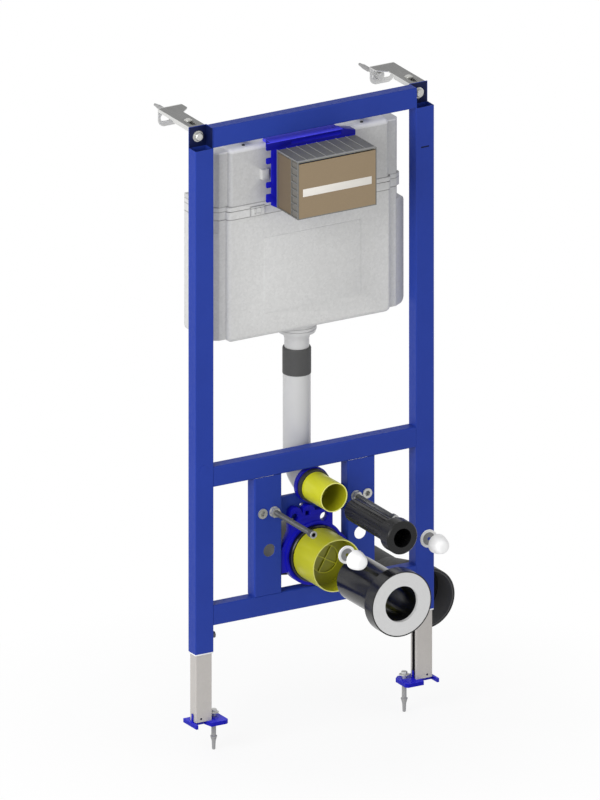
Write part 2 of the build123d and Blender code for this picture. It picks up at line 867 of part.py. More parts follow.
def flush_spigot_r():
    """The plug fits the bore of the flush pipe."""
    return flush_pipe_r - flush_pipe_wall - pipe_clearance


def flush_seal():
    """The rubber lip ring at the front of the flush pipe."""
    bore = flush_spigot_r() + pipe_clearance
    back = flush_front_y
    return turned_y(
        [(bore, flush_plug_back_y), (flush_seal_r, flush_plug_back_y), (flush_seal_r, back), (bore, back)],
        0, flush_z,
    )


def flush_clamp():
    """The blue clamp ring that holds the end of the flush pipe."""
    bore = flush_pipe_r + pipe_clearance
    back = flush_front_y + flush_clamp_depth
    ring = turned_y(
        [(bore, flush_front_y), (flush_clamp_r, flush_front_y), (flush_clamp_r, cross_front_y),
         (bore, cross_front_y)],
        0, flush_z,
    )
    ring += turned_y(
        [(bore, cross_front_y), (cross_notch_r - pipe_clearance, cross_front_y),
         (cross_notch_r - pipe_clearance, back), (bore, back)],
        0, flush_z,
    )
    return ring


def waste_socket():
    """The black waste bend with its thick socket rim at the front, turned down behind the frame."""
    bore = waste_pipe_r + pipe_clearance
    outer = waste_bend_outer_r
    rim = turned_y(
        [(bore, waste_socket_front_y), (waste_socket_r - waste_socket_edge, waste_socket_front_y),
         (waste_socket_r, waste_socket_front_y + waste_socket_edge), (waste_socket_r, holder_front_y),
         (outer, holder_front_y), (outer, waste_socket_back_y), (bore, waste_socket_back_y)],
        0, waste_z,
    )
    bend_centre = waste_z - waste_bend_r
    along = cos(radians(45)) * waste_bend_r
    path = Line((0, waste_socket_back_y, waste_z), (0, waste_bend_y, waste_z))
    middle = (0, waste_bend_y + along, bend_centre + along)
    end = (0, waste_bend_y + waste_bend_r, bend_centre)
    path += ThreePointArc((0, waste_bend_y, waste_z), middle, end)
    ring = Circle(outer) - Circle(bore)
    start = Plane((0, waste_socket_back_y, waste_z), x_dir=(1, 0, 0), z_dir=(0, 1, 0))
    return rim + sweep(start * ring, path=path)


def waste_plug():
    """The yellow building plug in the waste socket: an open cup with a ribbed floor."""
    r = waste_plug_r
    inner = r - plug_wall
    spigot = waste_pipe_r
    spigot_end = waste_socket_front_y + 2 * plug_spigot
    floor_y = waste_plug_disc_y
    cup = turned_y(
        [(0, floor_y), (inner, floor_y), (inner, waste_plug_front_y), (r, waste_plug_front_y),
         (r, waste_socket_front_y), (spigot, waste_socket_front_y), (spigot, spigot_end),
         (spigot - plug_wall, spigot_end), (spigot - plug_wall, floor_y + plug_wall),
         (0, floor_y + plug_wall)],
        0, waste_z,
    )
    rib_front = floor_y - plug_rib_height
    ring = rod_y(0, waste_z, plug_rib_ring_r, rib_front, floor_y)
    ring -= rod_y(0, waste_z, plug_rib_ring_r - plug_rib_width, rib_front - past, floor_y)
    cup += ring
    for angle in (plug_rib_turn, plug_rib_turn + 90):
        rib = Box(2 * plug_rib_ring_r - plug_rib_width, plug_rib_height, plug_rib_width)
        cup += Pos(0, floor_y - plug_rib_height / 2, waste_z) * Rot(0, angle, 0) * rib
    return cup


def waste_holder():
    """The blue holder between the posts: two lugs at the top, holes, and a collar round the socket."""
    side = post_inner_x - holder_side_clearance
    flare = waste_z + holder_flare
    corners = [
        (holder_half_top, waste_z + holder_top),
        (holder_half_top, waste_z + holder_waist),
        (side, flare - (side - holder_half_top) * holder_slope),
        (side, waste_z - holder_bottom),
        (-side, waste_z - holder_bottom),
        (-side, flare - (side - holder_half_top) * holder_slope),
        (holder_lug_x[0] - holder_lug_r, waste_z + holder_waist),
        (holder_lug_x[0] - holder_lug_r, waste_z + holder_top),
    ]
    back = holder_front_y + holder_depth
    plate = plate_xz(corners, holder_front_y, back)
    for x in holder_lug_x:
        plate += rod_y(x, waste_z + holder_top, holder_lug_r, holder_front_y, back)
    plate += rod_y(0, waste_z, holder_collar_r, holder_front_y - holder_collar_height, back)
    for x, radius, down in zip(holder_hole_x, holder_hole_r, holder_hole_down):
        plate -= rod_y(x, waste_z + holder_top - down, radius, holder_front_y - past, back + past)
    square_z = waste_z + holder_top - holder_square_down
    plate -= block(
        holder_square_x - holder_square / 2, holder_square_x + holder_square / 2,
        holder_front_y - past, back + past, square_z - holder_square / 2, square_z + holder_square / 2,
    )
    rim_r = waste_socket_r + pipe_clearance
    plate -= rod_y(0, waste_z, rim_r, holder_front_y - holder_collar_height - past, holder_front_y)
    pipe_r = waste_bend_outer_r + pipe_clearance
    plate -= rod_y(0, waste_z, pipe_r, holder_front_y - past, back + past)
    return plate


def wing(side, half, chamfer_y, z0, z1):
    """A side wing of the cistern with its slanted front corner."""
    corners = [
        (cistern_upper_half - cistern_corner, wing_front_y),
        (wing_straight_half, wing_front_y),
        (half, chamfer_y),
        (half, cistern_back_y),
        (cistern_upper_half - cistern_corner, cistern_back_y),
    ]
    return plate_xy([(side * x, y) for x, y in corners], z0, z1)


def cistern_lower():
    """The lower half of the insulated cistern, with its side wings and the bare front panel."""
    bottom = cistern_bottom_z
    top = cistern_seam_z
    body = block(-cistern_half, cistern_half, cistern_front_y, cistern_back_y, bottom, top)
    edges = body.edges().filter_by(Axis.Y).group_by(Axis.Z)[0]
    body = fillet(edges, cistern_corner)
    front = body.faces().sort_by(Axis.Y)[0]
    body = fillet(front.edges().filter_by(Axis.Z), cistern_edge)
    wing_bottom = bottom + wing_above_bottom
    wide_top = wing_bottom + wing_wide_height
    for side in (-1, 1):
        body += wing(side, wing_half, wing_chamfer_y, wing_bottom, top)
        wide = wing(side, wing_wide_half, wing_wide_chamfer_y, wing_bottom, wide_top)
        outer = [e for e in wide.edges().filter_by(Axis.Y) if abs(e.center().X) > wing_wide_half - past]
        body += fillet(outer, cistern_corner)
        body += block(
            side * wing_half, side * wing_wide_half,
            ear_front_y, cistern_back_y, wide_top - cistern_corner, top + ear_rise,
        )
    panel_bottom = bottom + panel_above_bottom
    body += block(
        panel_middle_x - panel_half, panel_middle_x + panel_half,
        cistern_front_y - panel_reach, cistern_front_y + past,
        panel_bottom, panel_bottom + panel_height,
    )
    return body


def cistern_upper():
    """The upper half of the cistern, above the grooved seam band."""
    seam = cistern_seam_z
    band_top = seam + band_height
    groove = seam + band_groove_up
    body = block(
        -cistern_upper_half, cistern_upper_half,
        cistern_front_y, cistern_back_y, seam, cistern_top_z,
    )
    top_front = body.edges().filter_by(Axis.X).group_by(Axis.Z)[-1].sort_by(Axis.Y)[0]
    body = fillet(top_front, cistern_corner)
    front_sides = body.edges().filter_by(Axis.Z).group_by(Axis.Y)[0]
    body = fillet(front_sides, cistern_edge)
    band_front = cistern_front_y - band_reach
    for z0, z1 in ((seam, groove), (groove + band_groove, band_top)):
        strip = block(-cistern_half, cistern_half, band_front, cistern_back_y, z0, z1)
        body += fillet(strip.edges().filter_by(Axis.Z).group_by(Axis.Y)[0], cistern_edge)
    clip_bottom = seam + clip_above_seam
    body += block(
        clip_left_x, clip_right_x, band_front - clip_reach, cistern_front_y,
        clip_bottom, clip_bottom + clip_height,
    )
    catch_top = cistern_top_z - catch_below_top
    body += block(
        catch_left_x, catch_right_x, catch_front_y, cistern_front_y + past,
        catch_top - catch_height, catch_top,
    )
    for side in (-1, 1):
        body += wing(side, wing_half, wing_chamfer_y, seam, cistern_top_z - wing_below_top)
        body += wing(side, band_wing_half, wing_chamfer_y, seam, band_top)
        ear_top = seam + ear_rise
        body -= block(
            side * wing_half, side * (wing_wide_half + past),
            ear_front_y - pipe_clearance, cistern_back_y + past, seam - past, ear_top + past,
        )
    return body


def actuator_base():
    """The blue moulded base of the opening: a bar on top, and a toothed rack on the left."""
    front = base_front_y
    back = cistern_front_y
    top = base_top_z
    bar_back = front + base_depth
    base = block(base_body_left_x, base_right_x, front, back, box_bottom_z, top - base_slope_drop)
    bar = plate_xz(
        [(base_left_x, top), (base_right_x - base_slope_length, top), (base_right_x, top - base_slope_drop),
         (base_right_x, top - base_bar_height), (base_left_x, top - base_bar_height)],
        front, bar_back,
    )
    base += bar
    base += plate_xz(
        [(base_left_x, top - base_bar_height), (base_body_left_x, top - base_bar_height),
         (base_body_left_x, box_bottom_z), (-box_half, box_bottom_z),
         (base_left_x, box_bottom_z + base_corner_rise)],
        front, front + rack_sheet,
    )
    base -= block(
        -box_half + base_rim, box_half - base_rim,
        front - past, back - base_back_wall, box_bottom_z + base_rim, box_top_z - base_rim,
    )
    base -= block(
        base_left_x, base_right_x + past,
        back - band_reach, back + past, box_bottom_z - past, cistern_seam_z + band_height,
    )
    panel_top = top - base_panel_down
    base -= block(
        -box_half + base_panel_side, box_half - base_panel_side,
        front - past, front + base_panel_inset, panel_top - base_panel_height, panel_top,
    )
    for upper, lower in tooth_spans:
        outline = RectangleRounded(2 * tooth_reach, lower - upper, tooth_corner)
        tooth = extrude(Plane.XZ * outline, amount=rack_sheet)
        base += Pos(base_left_x, front + rack_sheet, top - (upper + lower) / 2) * tooth
    return base


def box_core():
    """The cardboard body of the protection box, open below the lid."""
    front = box_front_y
    half = box_half - box_wall
    floor = box_bottom_z + box_wall
    rim = box_top_z - box_lid - box_lid_gap
    core = block(-half, half, front, base_front_y, floor, rim)
    core -= block(
        -half + box_wall, half - box_wall, front + box_wall, base_front_y + past,
        floor + box_wall, rim + past,
    )
    return core


def box_cage():
    """The grey plastic cage round the cardboard: a ribbed lid, a floor and gridded sides."""
    front = box_front_y
    back = base_front_y
    lid_top = box_top_z - box_rib_height
    lid_bottom = box_top_z - box_lid
    cage = block(-box_half, box_half, front, back, lid_bottom, lid_top)
    pitch = (2 * box_half - box_rib_width) / (box_ribs - 1)
    for index in range(box_ribs):
        x = -box_half + box_rib_width / 2 + pitch * index
        cage += block(x - box_rib_width / 2, x + box_rib_width / 2, front, back, lid_bottom, box_top_z)
    cage += block(-box_half, box_half, front, front + box_bar_depth, lid_bottom, box_top_z)
    cage += block(-box_half, box_half, front, back, box_bottom_z, box_bottom_z + box_wall)
    grid_back = front + box_grid_depth
    rung_pitch = (lid_bottom - box_bottom_z) / box_rungs
    for side in (-1, 1):
        inner = side * (box_half - box_wall)
        outer = side * box_half
        for y0, y1 in (
            (front, front + box_post_width),
            (grid_back - box_wall, grid_back),
            (back - box_post_width, back),
        ):
            cage += block(inner, outer, y0, y1, box_bottom_z, lid_bottom)
        for index in range(1, box_rungs):
            z = box_bottom_z + rung_pitch * index
            cage += block(inner, outer, front, grid_back, z - box_wall / 2, z + box_wall / 2)
    return cage


def waste_connector():
    """The loose waste connector: a wide cup for the toilet and a long spigot."""
    front = connector_front_y
    cup_back = front + connector_flange_length
    r = waste_pipe_r
    inner = r - connector_wall
    seal_back = front + connector_seal_depth
    return turned_y(
        [(connector_seal_r + pipe_clearance, front), (connector_flange_r, front),
         (connector_flange_r, cup_back), (r + connector_collar, cup_back + connector_collar_length),
         (r, cup_back + connector_collar_length + connector_collar),
         (r, connector_back_y - connector_end_length), (r - connector_end_in, connector_back_y),
         (inner, connector_back_y),
         (inner, seal_back), (connector_seal_r + pipe_clearance, seal_back)],
        0, waste_z,
    )


def waste_connector_seal():
    """The pale ring in the face of the waste connector."""
    front = connector_front_y
    back = front + connector_seal_depth
    return turned_y(
        [(connector_seal_bore_r, front), (connector_seal_r, front), (connector_seal_r, back),
         (connector_seal_bore_r, back)],
        0, waste_z,
    )


def flush_connector():
    """The loose flush connector: a rubber cuff on a slim pipe."""
    front = flush_connector_front_y
    cuff_back = front + flush_connector_cuff_length
    cuff = flush_connector_cuff_r
    r = flush_connector_r
    bore = flush_connector_bore_r
    edge = flush_connector_edge
    collar_r = r + flush_connector_collar
    collar_start = cuff_back + flush_connector_collar
    collar_end = cuff_back + flush_connector_collar_length
    back = flush_connector_back_y
    return turned_y(
        [(bore, front), (cuff - edge, front), (cuff, front + edge), (cuff, cuff_back),
         (collar_r, collar_start), (collar_r, collar_end), (r, collar_end + flush_connector_collar),
         (r, back - edge), (r - flush_connector_end_in, back), (bore, back)],
        0, flush_z,
    )


def set_washer(side):
    """A loose washer of the toilet fixing set."""
    y0 = set_washer_y
    y1 = y0 + set_washer_height
    return turned_y(
        [(set_washer_bore_r, y0 + set_washer_dish),
         (set_washer_r - set_washer_rim - set_washer_dish, y0 + set_washer_dish),
         (set_washer_r - set_washer_rim, y0), (set_washer_r, y0), (set_washer_r, y1),
         (set_washer_bore_r, y1)],
        side * stud_spacing / 2, stud_z,
    )


def cap(side):
    """A loose dome cap of the toilet fixing set, open at the back."""
    back = cap_y + cap_length / 2
    dome_r = cap_r
    straight = back - (cap_length - dome_r)
    outer = Line((dome_r, back), (dome_r, straight))
    outer += ThreePointArc(
        (dome_r, straight),
        (dome_r * cos(radians(45)), straight - dome_r * sin(radians(45))),
        (0, straight - dome_r),
    )
    inner_r = dome_r - cap_wall
    outer += Line((0, straight - dome_r), (0, straight - inner_r))
    outer += ThreePointArc(
        (0, straight - inner_r),
        (inner_r * cos(radians(45)), straight - inner_r * sin(radians(45))),
        (inner_r, straight),
    )
    outer += Line((inner_r, straight), (inner_r, back))
    outer += Line((inner_r, back), (dome_r, back))
    dome = revolve(make_face(outer), Axis.Y)
    return Pos(side * stud_spacing / 2, 0, stud_z) * dome


def reducer_skin(socket_r, socket_end, neck_radius, pipe_radius, drop):
    """One skin of the reducer: a socket, an eccentric taper and a pipe, its lowest line straight."""
    taper_start = reducer_mouth_y + reducer_socket_length
    taper_end = taper_start + reducer_taper_length
    end = reducer_mouth_y + reducer_length
    socket = rod_y(reducer_x, reducer_z, socket_r, reducer_mouth_y, socket_end)
    socket += rod_y(reducer_x, reducer_z, neck_radius, reducer_mouth_y, taper_start)
    mouth_plane = Plane((reducer_x, taper_start, reducer_z), x_dir=(1, 0, 0), z_dir=(0, 1, 0))
    pipe_plane = Plane((reducer_x, taper_end, reducer_z - drop), x_dir=(1, 0, 0), z_dir=(0, 1, 0))
    taper = loft([mouth_plane * Circle(neck_radius), pipe_plane * Circle(pipe_radius)], ruled=True)
    pipe = rod_y(reducer_x, reducer_z - drop, pipe_radius, taper_end, end)
    return socket + taper + pipe


def waste_reducer():
    """The loose eccentric reducer of the drain."""
    pipe_r = waste_pipe_r
    neck = reducer_socket_bore_r
    drop = neck - pipe_r
    wall = reducer_wall
    socket_end = reducer_mouth_y + reducer_socket_length
    outer = reducer_skin(reducer_socket_r, socket_end, neck, pipe_r, drop)
    inner = reducer_skin(neck, socket_end - wall, neck - wall, pipe_r - wall, drop)
    return outer - inner


pieces = {
    "top_rail": top_rail(),
    "middle_rail": rail(middle_rail_z),
    "bottom_rail": rail(bottom_rail_z),
    "cross_member": cross_member(),
    "flush_pipe": flush_pipe(),
    "pipe_cuff": pipe_cuff(),
    "outlet_neck": outlet_neck(),
    "flush_plug": flush_plug(),
    "flush_seal": flush_seal(),
    "flush_clamp": flush_clamp(),
    "waste_bend": waste_socket(),
    "waste_plug": waste_plug(),
    "waste_holder": waste_holder(),
    "cistern_lower": cistern_lower(),
    "cistern_upper": cistern_upper(),
    "actuator_base": actuator_base(),
    "box_core": box_core(),
    "box_cage": box_cage(),
    "waste_connector": waste_connector(),
    "waste_connector_seal": waste_connector_seal(),
    "flush_connector": flush_connector(),
    "waste_reducer": waste_reducer(),
}
for name, side in (("left", -1), ("right", 1)):
    pieces["upright_" + name] = upright(side)
    pieces["inner_post_" + name] = inner_post(side)
    pieces["leg_" + name] = leg(side)
    pieces["foot_plate_" + name] = foot_plate(side)
    pieces["foot_anchor_" + name] = foot_anchor(side)
    pieces["wall_bracket_" + name] = wall_bracket(side)
    pieces["stud_" + name] = stud(side)
    pieces["washer_" + name] = set_washer(side)
    pieces["cap_" + name] = cap(side)
for name, make in (
    ("clamp_screws", clamp_screw),
    ("bracket_bolts", bracket_bolt),
    ("wall_screws", wall_screw),
    ("stud_nuts", stud_nut),
    ("stud_inserts", stud_insert),
):
    pieces[name] = make(-1) + make(1)
pieces["bracket_bolts"] += slot_bolt(-1) + slot_bolt(1)
pieces["stud_nuts"] += back_nut(-1) + back_nut(1)

os.makedirs("parts", exist_ok=True)
to_origin = Pos(-origin[0], -origin[1], -origin[2])
for name, solid in pieces.items():
    export_step(to_origin * solid, "parts/" + name + ".step")
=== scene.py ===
"""Dresses a wall hung toilet frame: its finishes, its fine pieces, the studio and the camera.

Lengths in the script are metres, as in the frame. The function at() takes millimetres from the middle
of the frame (X), the front of its steel tubes (Y) and the underside of its feet (Z).
"""

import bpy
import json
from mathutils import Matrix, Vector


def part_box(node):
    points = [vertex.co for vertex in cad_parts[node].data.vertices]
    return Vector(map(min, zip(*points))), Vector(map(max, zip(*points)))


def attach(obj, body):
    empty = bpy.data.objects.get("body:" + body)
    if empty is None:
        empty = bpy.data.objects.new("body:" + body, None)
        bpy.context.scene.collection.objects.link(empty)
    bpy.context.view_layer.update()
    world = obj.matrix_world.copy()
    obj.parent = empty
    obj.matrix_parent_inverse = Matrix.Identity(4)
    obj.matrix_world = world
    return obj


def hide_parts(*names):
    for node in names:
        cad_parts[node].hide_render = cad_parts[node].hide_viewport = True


bl_info = {
    "name": "Toilet Frame Dressing",
    "version": (1, 0, 0),
    "blender": (4, 5, 0),
    "location": "View3D > Sidebar > Toilet Frame",
    "description": "Finishes, fine pieces, studio and camera for a wall hung toilet frame",
    "category": "Object",
}

import json
from math import cos, pi, radians, sin

import bpy
from mathutils import Matrix, Vector

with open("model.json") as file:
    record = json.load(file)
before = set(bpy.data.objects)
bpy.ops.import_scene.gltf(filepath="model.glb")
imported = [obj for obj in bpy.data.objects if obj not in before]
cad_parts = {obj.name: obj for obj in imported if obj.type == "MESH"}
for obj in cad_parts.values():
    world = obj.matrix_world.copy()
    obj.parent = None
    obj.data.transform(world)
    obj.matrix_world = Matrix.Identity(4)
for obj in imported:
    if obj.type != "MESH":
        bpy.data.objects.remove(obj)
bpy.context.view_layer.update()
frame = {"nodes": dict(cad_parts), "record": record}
NODES = frame["nodes"]
MM = 0.001

# Places that the pieces of the frame give
MIDDLE_X = sum(corner.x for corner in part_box("top_rail")) / 2
FRONT_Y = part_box("upright_right")[0].y
FEET_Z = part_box("foot_plate_left")[0].z


def at(x, y, z):
    """A place in metres, from millimetres off the frame's middle, its front and its feet."""
    return Vector((MIDDLE_X + x * MM, FRONT_Y + y * MM, FEET_Z + z * MM))


# Heights and depths that the finishes follow
NOTCH_LOW = at(0, 0, 1167).z
FRAME_TOP = at(0, 0, 1208).z
BRACKET_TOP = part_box("wall_bracket_left")[1].z
WALL_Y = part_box("wall_bracket_left")[1].y
FOOT_TOP = at(0, 0, 8).z
SEAM_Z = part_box("cistern_upper")[0].z
CISTERN_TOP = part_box("cistern_upper")[1].z
CISTERN_FRONT = at(0, 18.4, 0).y

# From here on, places and sizes are millimetres, as at() takes them.
# Axes of the waste, of the fixing sleeves and of the flush, and a height between the two plugs
WASTE_Z = 307
STUD_X = 90
STUD_Z = 407
FLUSH_Z = 442
BETWEEN_PLUGS_Z = 385

# The notches at the uprights' tops, and the pressed mark on the right upright
NOTCH_FROM_MIDDLE = (223.5, 261.4)
NOTCH_FROM_FRONT = (0.6, 27.2)
MARK_X = (233.8, 251.2)
MARK_Z = (1084.6, 1087.4)

# Node, height of the axis, share of light deep in the cup, how far that takes from the rim, and where
# the ribs on the floor of the cup stand. The flush plug has no ribs, so its place is in front of it.
PLUGS = (("waste_plug", WASTE_Z, 0.56, 48, -38.5), ("flush_plug", FLUSH_Z, 0.64, 0.1, -120))
PLUG_WALL = 1.3

# Painted shade lines in the grooves of the cistern's joint, above its seam: height, half width and share of
# light
SEAM_LINES = ((0, 1.0, 0.5), (16.6, 0.9, 0.6), (26, 1.0, 0.68))

# Painted shade outlines round the seam clip and its tab on the cistern's front: reach across, reach above
# the seam, width of the line
SEAM_CLIP = ((-132.6, -100.4), (0.4, 20.6), 1.6)
CLIP_TAB = ((-123.5, -109.5), (4.2, 17.5), 1.0)

SIDES = ("left", "right")


def axis_of(node, along="y"):
    """The middle of a piece's box, at 0 along the piece's axis."""
    low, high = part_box(node)
    middle = (low + high) / 2
    setattr(middle, along, 0)
    return middle


def srgb(red, green, blue):
    """A linear colour from the usual 0 to 255 numbers."""
    shares = [value / 255 for value in (red, green, blue)]
    return tuple(s / 12.92 if s <= 0.04045 else ((s + 0.055) / 1.055) ** 2.4 for s in shares)


# Sizes and colours that a user can change

class FrameColours(bpy.types.PropertyGroup):
    """Base colours of the finishes."""

    paint: bpy.props.FloatVectorProperty(
        name="Powder coat", description="Colour of the steel frame",
        subtype="COLOR", min=0, max=1, default=srgb(34, 58, 149))
    blue_plastic: bpy.props.FloatVectorProperty(
        name="Blue plastic",
        description="Colour of the waste holder, the clamp ring, the feet and the opening's base",
        subtype="COLOR", min=0, max=1, default=srgb(17, 18, 164))
    yellow_plastic: bpy.props.FloatVectorProperty(
        name="Plug plastic", description="Colour of the two building plugs",
        subtype="COLOR", min=0, max=1, default=srgb(206, 206, 34))
    foam: bpy.props.FloatVectorProperty(
        name="Cistern", description="Colour of the insulated cistern",
        subtype="COLOR", min=0, max=1, default=srgb(203, 203, 202))
    board: bpy.props.FloatVectorProperty(
        name="Board", description="Colour of the box in the opening",
        subtype="COLOR", min=0, max=1, default=srgb(142, 124, 98))
    black: bpy.props.FloatVectorProperty(
        name="Black plastic", description="Colour of the waste connector and the waste bend",
        subtype="COLOR", min=0, max=1, default=srgb(15, 15, 17))
    white: bpy.props.FloatVectorProperty(
        name="White plastic", description="Colour of the caps, the loose washers and the leg bushes",
        subtype="COLOR", min=0, max=1, default=srgb(240, 240, 240))


class FrameSizes(bpy.types.PropertyGroup):
    """Sizes of the fine pieces."""

    edge: bpy.props.FloatProperty(
        name="Moulded edge", description="Radius of the edges of moulded plastic",
        unit="LENGTH", min=0.0001, max=0.003, default=0.5 * MM)
    foam_edge: bpy.props.FloatProperty(
        name="Cistern edge", description="Radius of the cistern's smaller edges",
        unit="LENGTH", min=0.00025, max=0.003, default=1.1 * MM)
    thread_pitch: bpy.props.FloatProperty(
        name="Thread pitch", description="Distance between the ridges of the fixing sleeves",
        unit="LENGTH", min=0.001, max=0.004, default=1.75 * MM)
    flutes: bpy.props.IntProperty(
        name="Flutes", description="Ribs along the flush connector", min=8, max=40, default=18)
    round_steps: bpy.props.IntProperty(
        name="Steps of a turn", description="Faces round a turned piece", min=24, max=160, default=96)


# Modelling helpers

def start(kind, **settings):
    """Adds a primitive with nothing else selected, places it in its mesh and returns it."""
    bpy.ops.object.select_all(action="DESELECT")
    getattr(bpy.ops.mesh, "primitive_" + kind + "_add")(**settings)
    bpy.ops.object.transform_apply(location=True, rotation=True, scale=True)
    return bpy.context.view_layer.objects.active


def take(piece):
    """Makes a piece the only one that is selected."""
    bpy.ops.object.select_all(action="DESELECT")
    bpy.context.view_layer.objects.active = piece
    piece.select_set(True)
    return piece


def edit(piece, domain="VERT"):
    """Opens a piece in edit mode with nothing selected."""
    take(piece)
    bpy.ops.object.mode_set(mode="EDIT")
    bpy.ops.mesh.select_mode(type=domain)
    bpy.ops.mesh.select_all(action="DESELECT")


def choose(piece, test):
    """Opens a piece in edit mode with only the faces selected whose direction passes a test."""
    edit(piece, "FACE")
    leave()
    for face in piece.data.polygons:
        face.select = test(face.normal)
    bpy.ops.object.mode_set(mode="EDIT")


def leave():
    """Back to object mode."""
    bpy.ops.object.mode_set(mode="OBJECT")


def use_modifier(piece, kind, **settings):
    """Adds a modifier with its settings and applies it."""
    take(piece)
    modifier = piece.modifiers.new(kind.title(), kind)
    for name, value in settings.items():
        setattr(modifier, name, value)
    bpy.ops.object.modifier_apply(modifier=modifier.name)
    return piece


def soften(piece, width, angle=35, segments=2):
    """Rounds the edges that are sharper than an angle, then shades the piece smooth."""
    use_modifier(
        piece, "BEVEL", width=width, segments=segments, limit_method="ANGLE",
        angle_limit=radians(angle), harden_normals=False, miter_outer="MITER_ARC",
    )
    return smooth(piece)


def smooth(piece, angle=32):
    """Shades a piece smooth where its faces meet at a small angle."""
    take(piece)
    bpy.ops.object.shade_smooth_by_angle(angle=radians(angle))
    return piece


def turned(name, profile, centre, steps, axis="Y", closed=True):
    """A round piece. Its profile of (radius, place along the axis) is drawn, then spun about the axis.

    A closed profile goes back to its start. One that isn't closed starts and ends on the axis.
    """
    axis_way = Vector((0, 1, 0)) if axis == "Y" else Vector((0, 0, 1))
    places = [centre + Vector((radius, 0, 0)) + axis_way * along for radius, along in profile]
    if closed:
        places.append(places[0])
    piece = start("plane", size=MM, location=places[0])
    edit(piece)
    bpy.ops.mesh.select_all(action="SELECT")
    bpy.ops.mesh.merge(type="CENTER")
    for last, following in zip(places, places[1:]):
        bpy.ops.mesh.extrude_vertices_move(TRANSFORM_OT_translate={"value": following - last})
    bpy.ops.mesh.select_all(action="SELECT")
    bpy.ops.mesh.spin(steps=steps, angle=2 * pi, center=centre, axis=axis_way)
    bpy.ops.mesh.select_all(action="SELECT")
    bpy.ops.mesh.remove_doubles(threshold=0.01 * MM)
    bpy.ops.mesh.normals_make_consistent(inside=False)
    leave()
    piece.name = name
    return piece


def merged_copy(node, name):
    """A copy of a piece of the frame, with its triangles merged into whole faces."""
    piece = bpy.data.objects.new(name, NODES[node].data.copy())
    bpy.context.scene.collection.objects.link(piece)
    take(piece)
    bpy.ops.mesh.customdata_custom_splitnormals_clear()
    edit(piece)
    bpy.ops.mesh.select_all(action="SELECT")
    bpy.ops.mesh.remove_doubles(threshold=0.005 * MM)
    bpy.ops.mesh.dissolve_limited(angle_limit=radians(0.5))
    leave()
    return piece


def joined(name, pieces):
    """Several meshes as one piece."""
    take(pieces[0])
    for piece in pieces[1:]:
        piece.select_set(True)
    if len(pieces) > 1:
        bpy.ops.object.join()
    pieces[0].name = name
    return pieces[0]


def copies_by(piece, moves):
    """Copies of a piece, each with its own mesh, moved by each matrix."""
    made = []
    for move in moves:
        copy = bpy.data.objects.new(piece.name, piece.data.copy())
        bpy.context.scene.collection.objects.link(copy)
        copy.data.transform(move)
        made.append(copy)
    return made


def bar(name, low, high, edge):
    """A bar between two corners, with its edges rounded."""
    size = high - low
    piece = start("cube", size=1, location=(low + high) / 2, scale=[abs(side) for side in size])
    piece.name = name
    return soften(piece, edge)


def finished(piece, body, slot, *nodes, finish=None):
    """Gives a piece its finish and its body, and hides the plain pieces that it stands for."""
    piece.data.materials.clear()
    piece.data.materials.append(FINISHES[finish or slot].material)
    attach(piece, body)
    if nodes:
        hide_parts(*nodes)
    return piece


# Shader maths

class Wire:
    """A number that changes over a surface. Sums on it add their maths nodes."""

    def __init__(self, nodes, socket):
        self.nodes = nodes
        self.socket = socket

    def maths(self, operation, first, second):
        """Adds one maths node and returns its result."""
        made = self.nodes.node("ShaderNodeMath", {"operation": operation}, {0: first, 1: second})
        return Wire(self.nodes, made.outputs[0])

    def __add__(self, other):
        return self.maths("ADD", self, other)

    def __radd__(self, other):
        return self.maths("ADD", other, self)

    def __sub__(self, other):
        return self.maths("SUBTRACT", self, other)

    def __rsub__(self, other):
        return self.maths("SUBTRACT", other, self)

    def __mul__(self, other):
        return self.maths("MULTIPLY", self, other)

    def __rmul__(self, other):
        return self.maths("MULTIPLY", other, self)

    def __abs__(self):
        return self.maths("ABSOLUTE", self, 0)

    def __gt__(self, other):
        return self.maths("GREATER_THAN", self, other)

    def __lt__(self, other):
        return self.maths("LESS_THAN", self, other)


class Nodes:
    """The nodes of a material or of the world. Each new node comes from the method node."""

    def __init__(self, tree):
        self.tree = tree

    def node(self, kind, settings=None, inputs=None):
        """Adds a node, sets its settings, then gives its sockets their values or links."""
        made = self.tree.nodes.new(kind)
        for name, value in (settings or {}).items():
            setattr(made, name, value)
        for name, value in (inputs or {}).items():
            socket = made.inputs[name]
            if isinstance(value, Wire):
                value = value.socket
            if isinstance(value, bpy.types.NodeSocket):
                self.tree.links.new(value, socket)
            else:
                socket.default_value = value
        return made


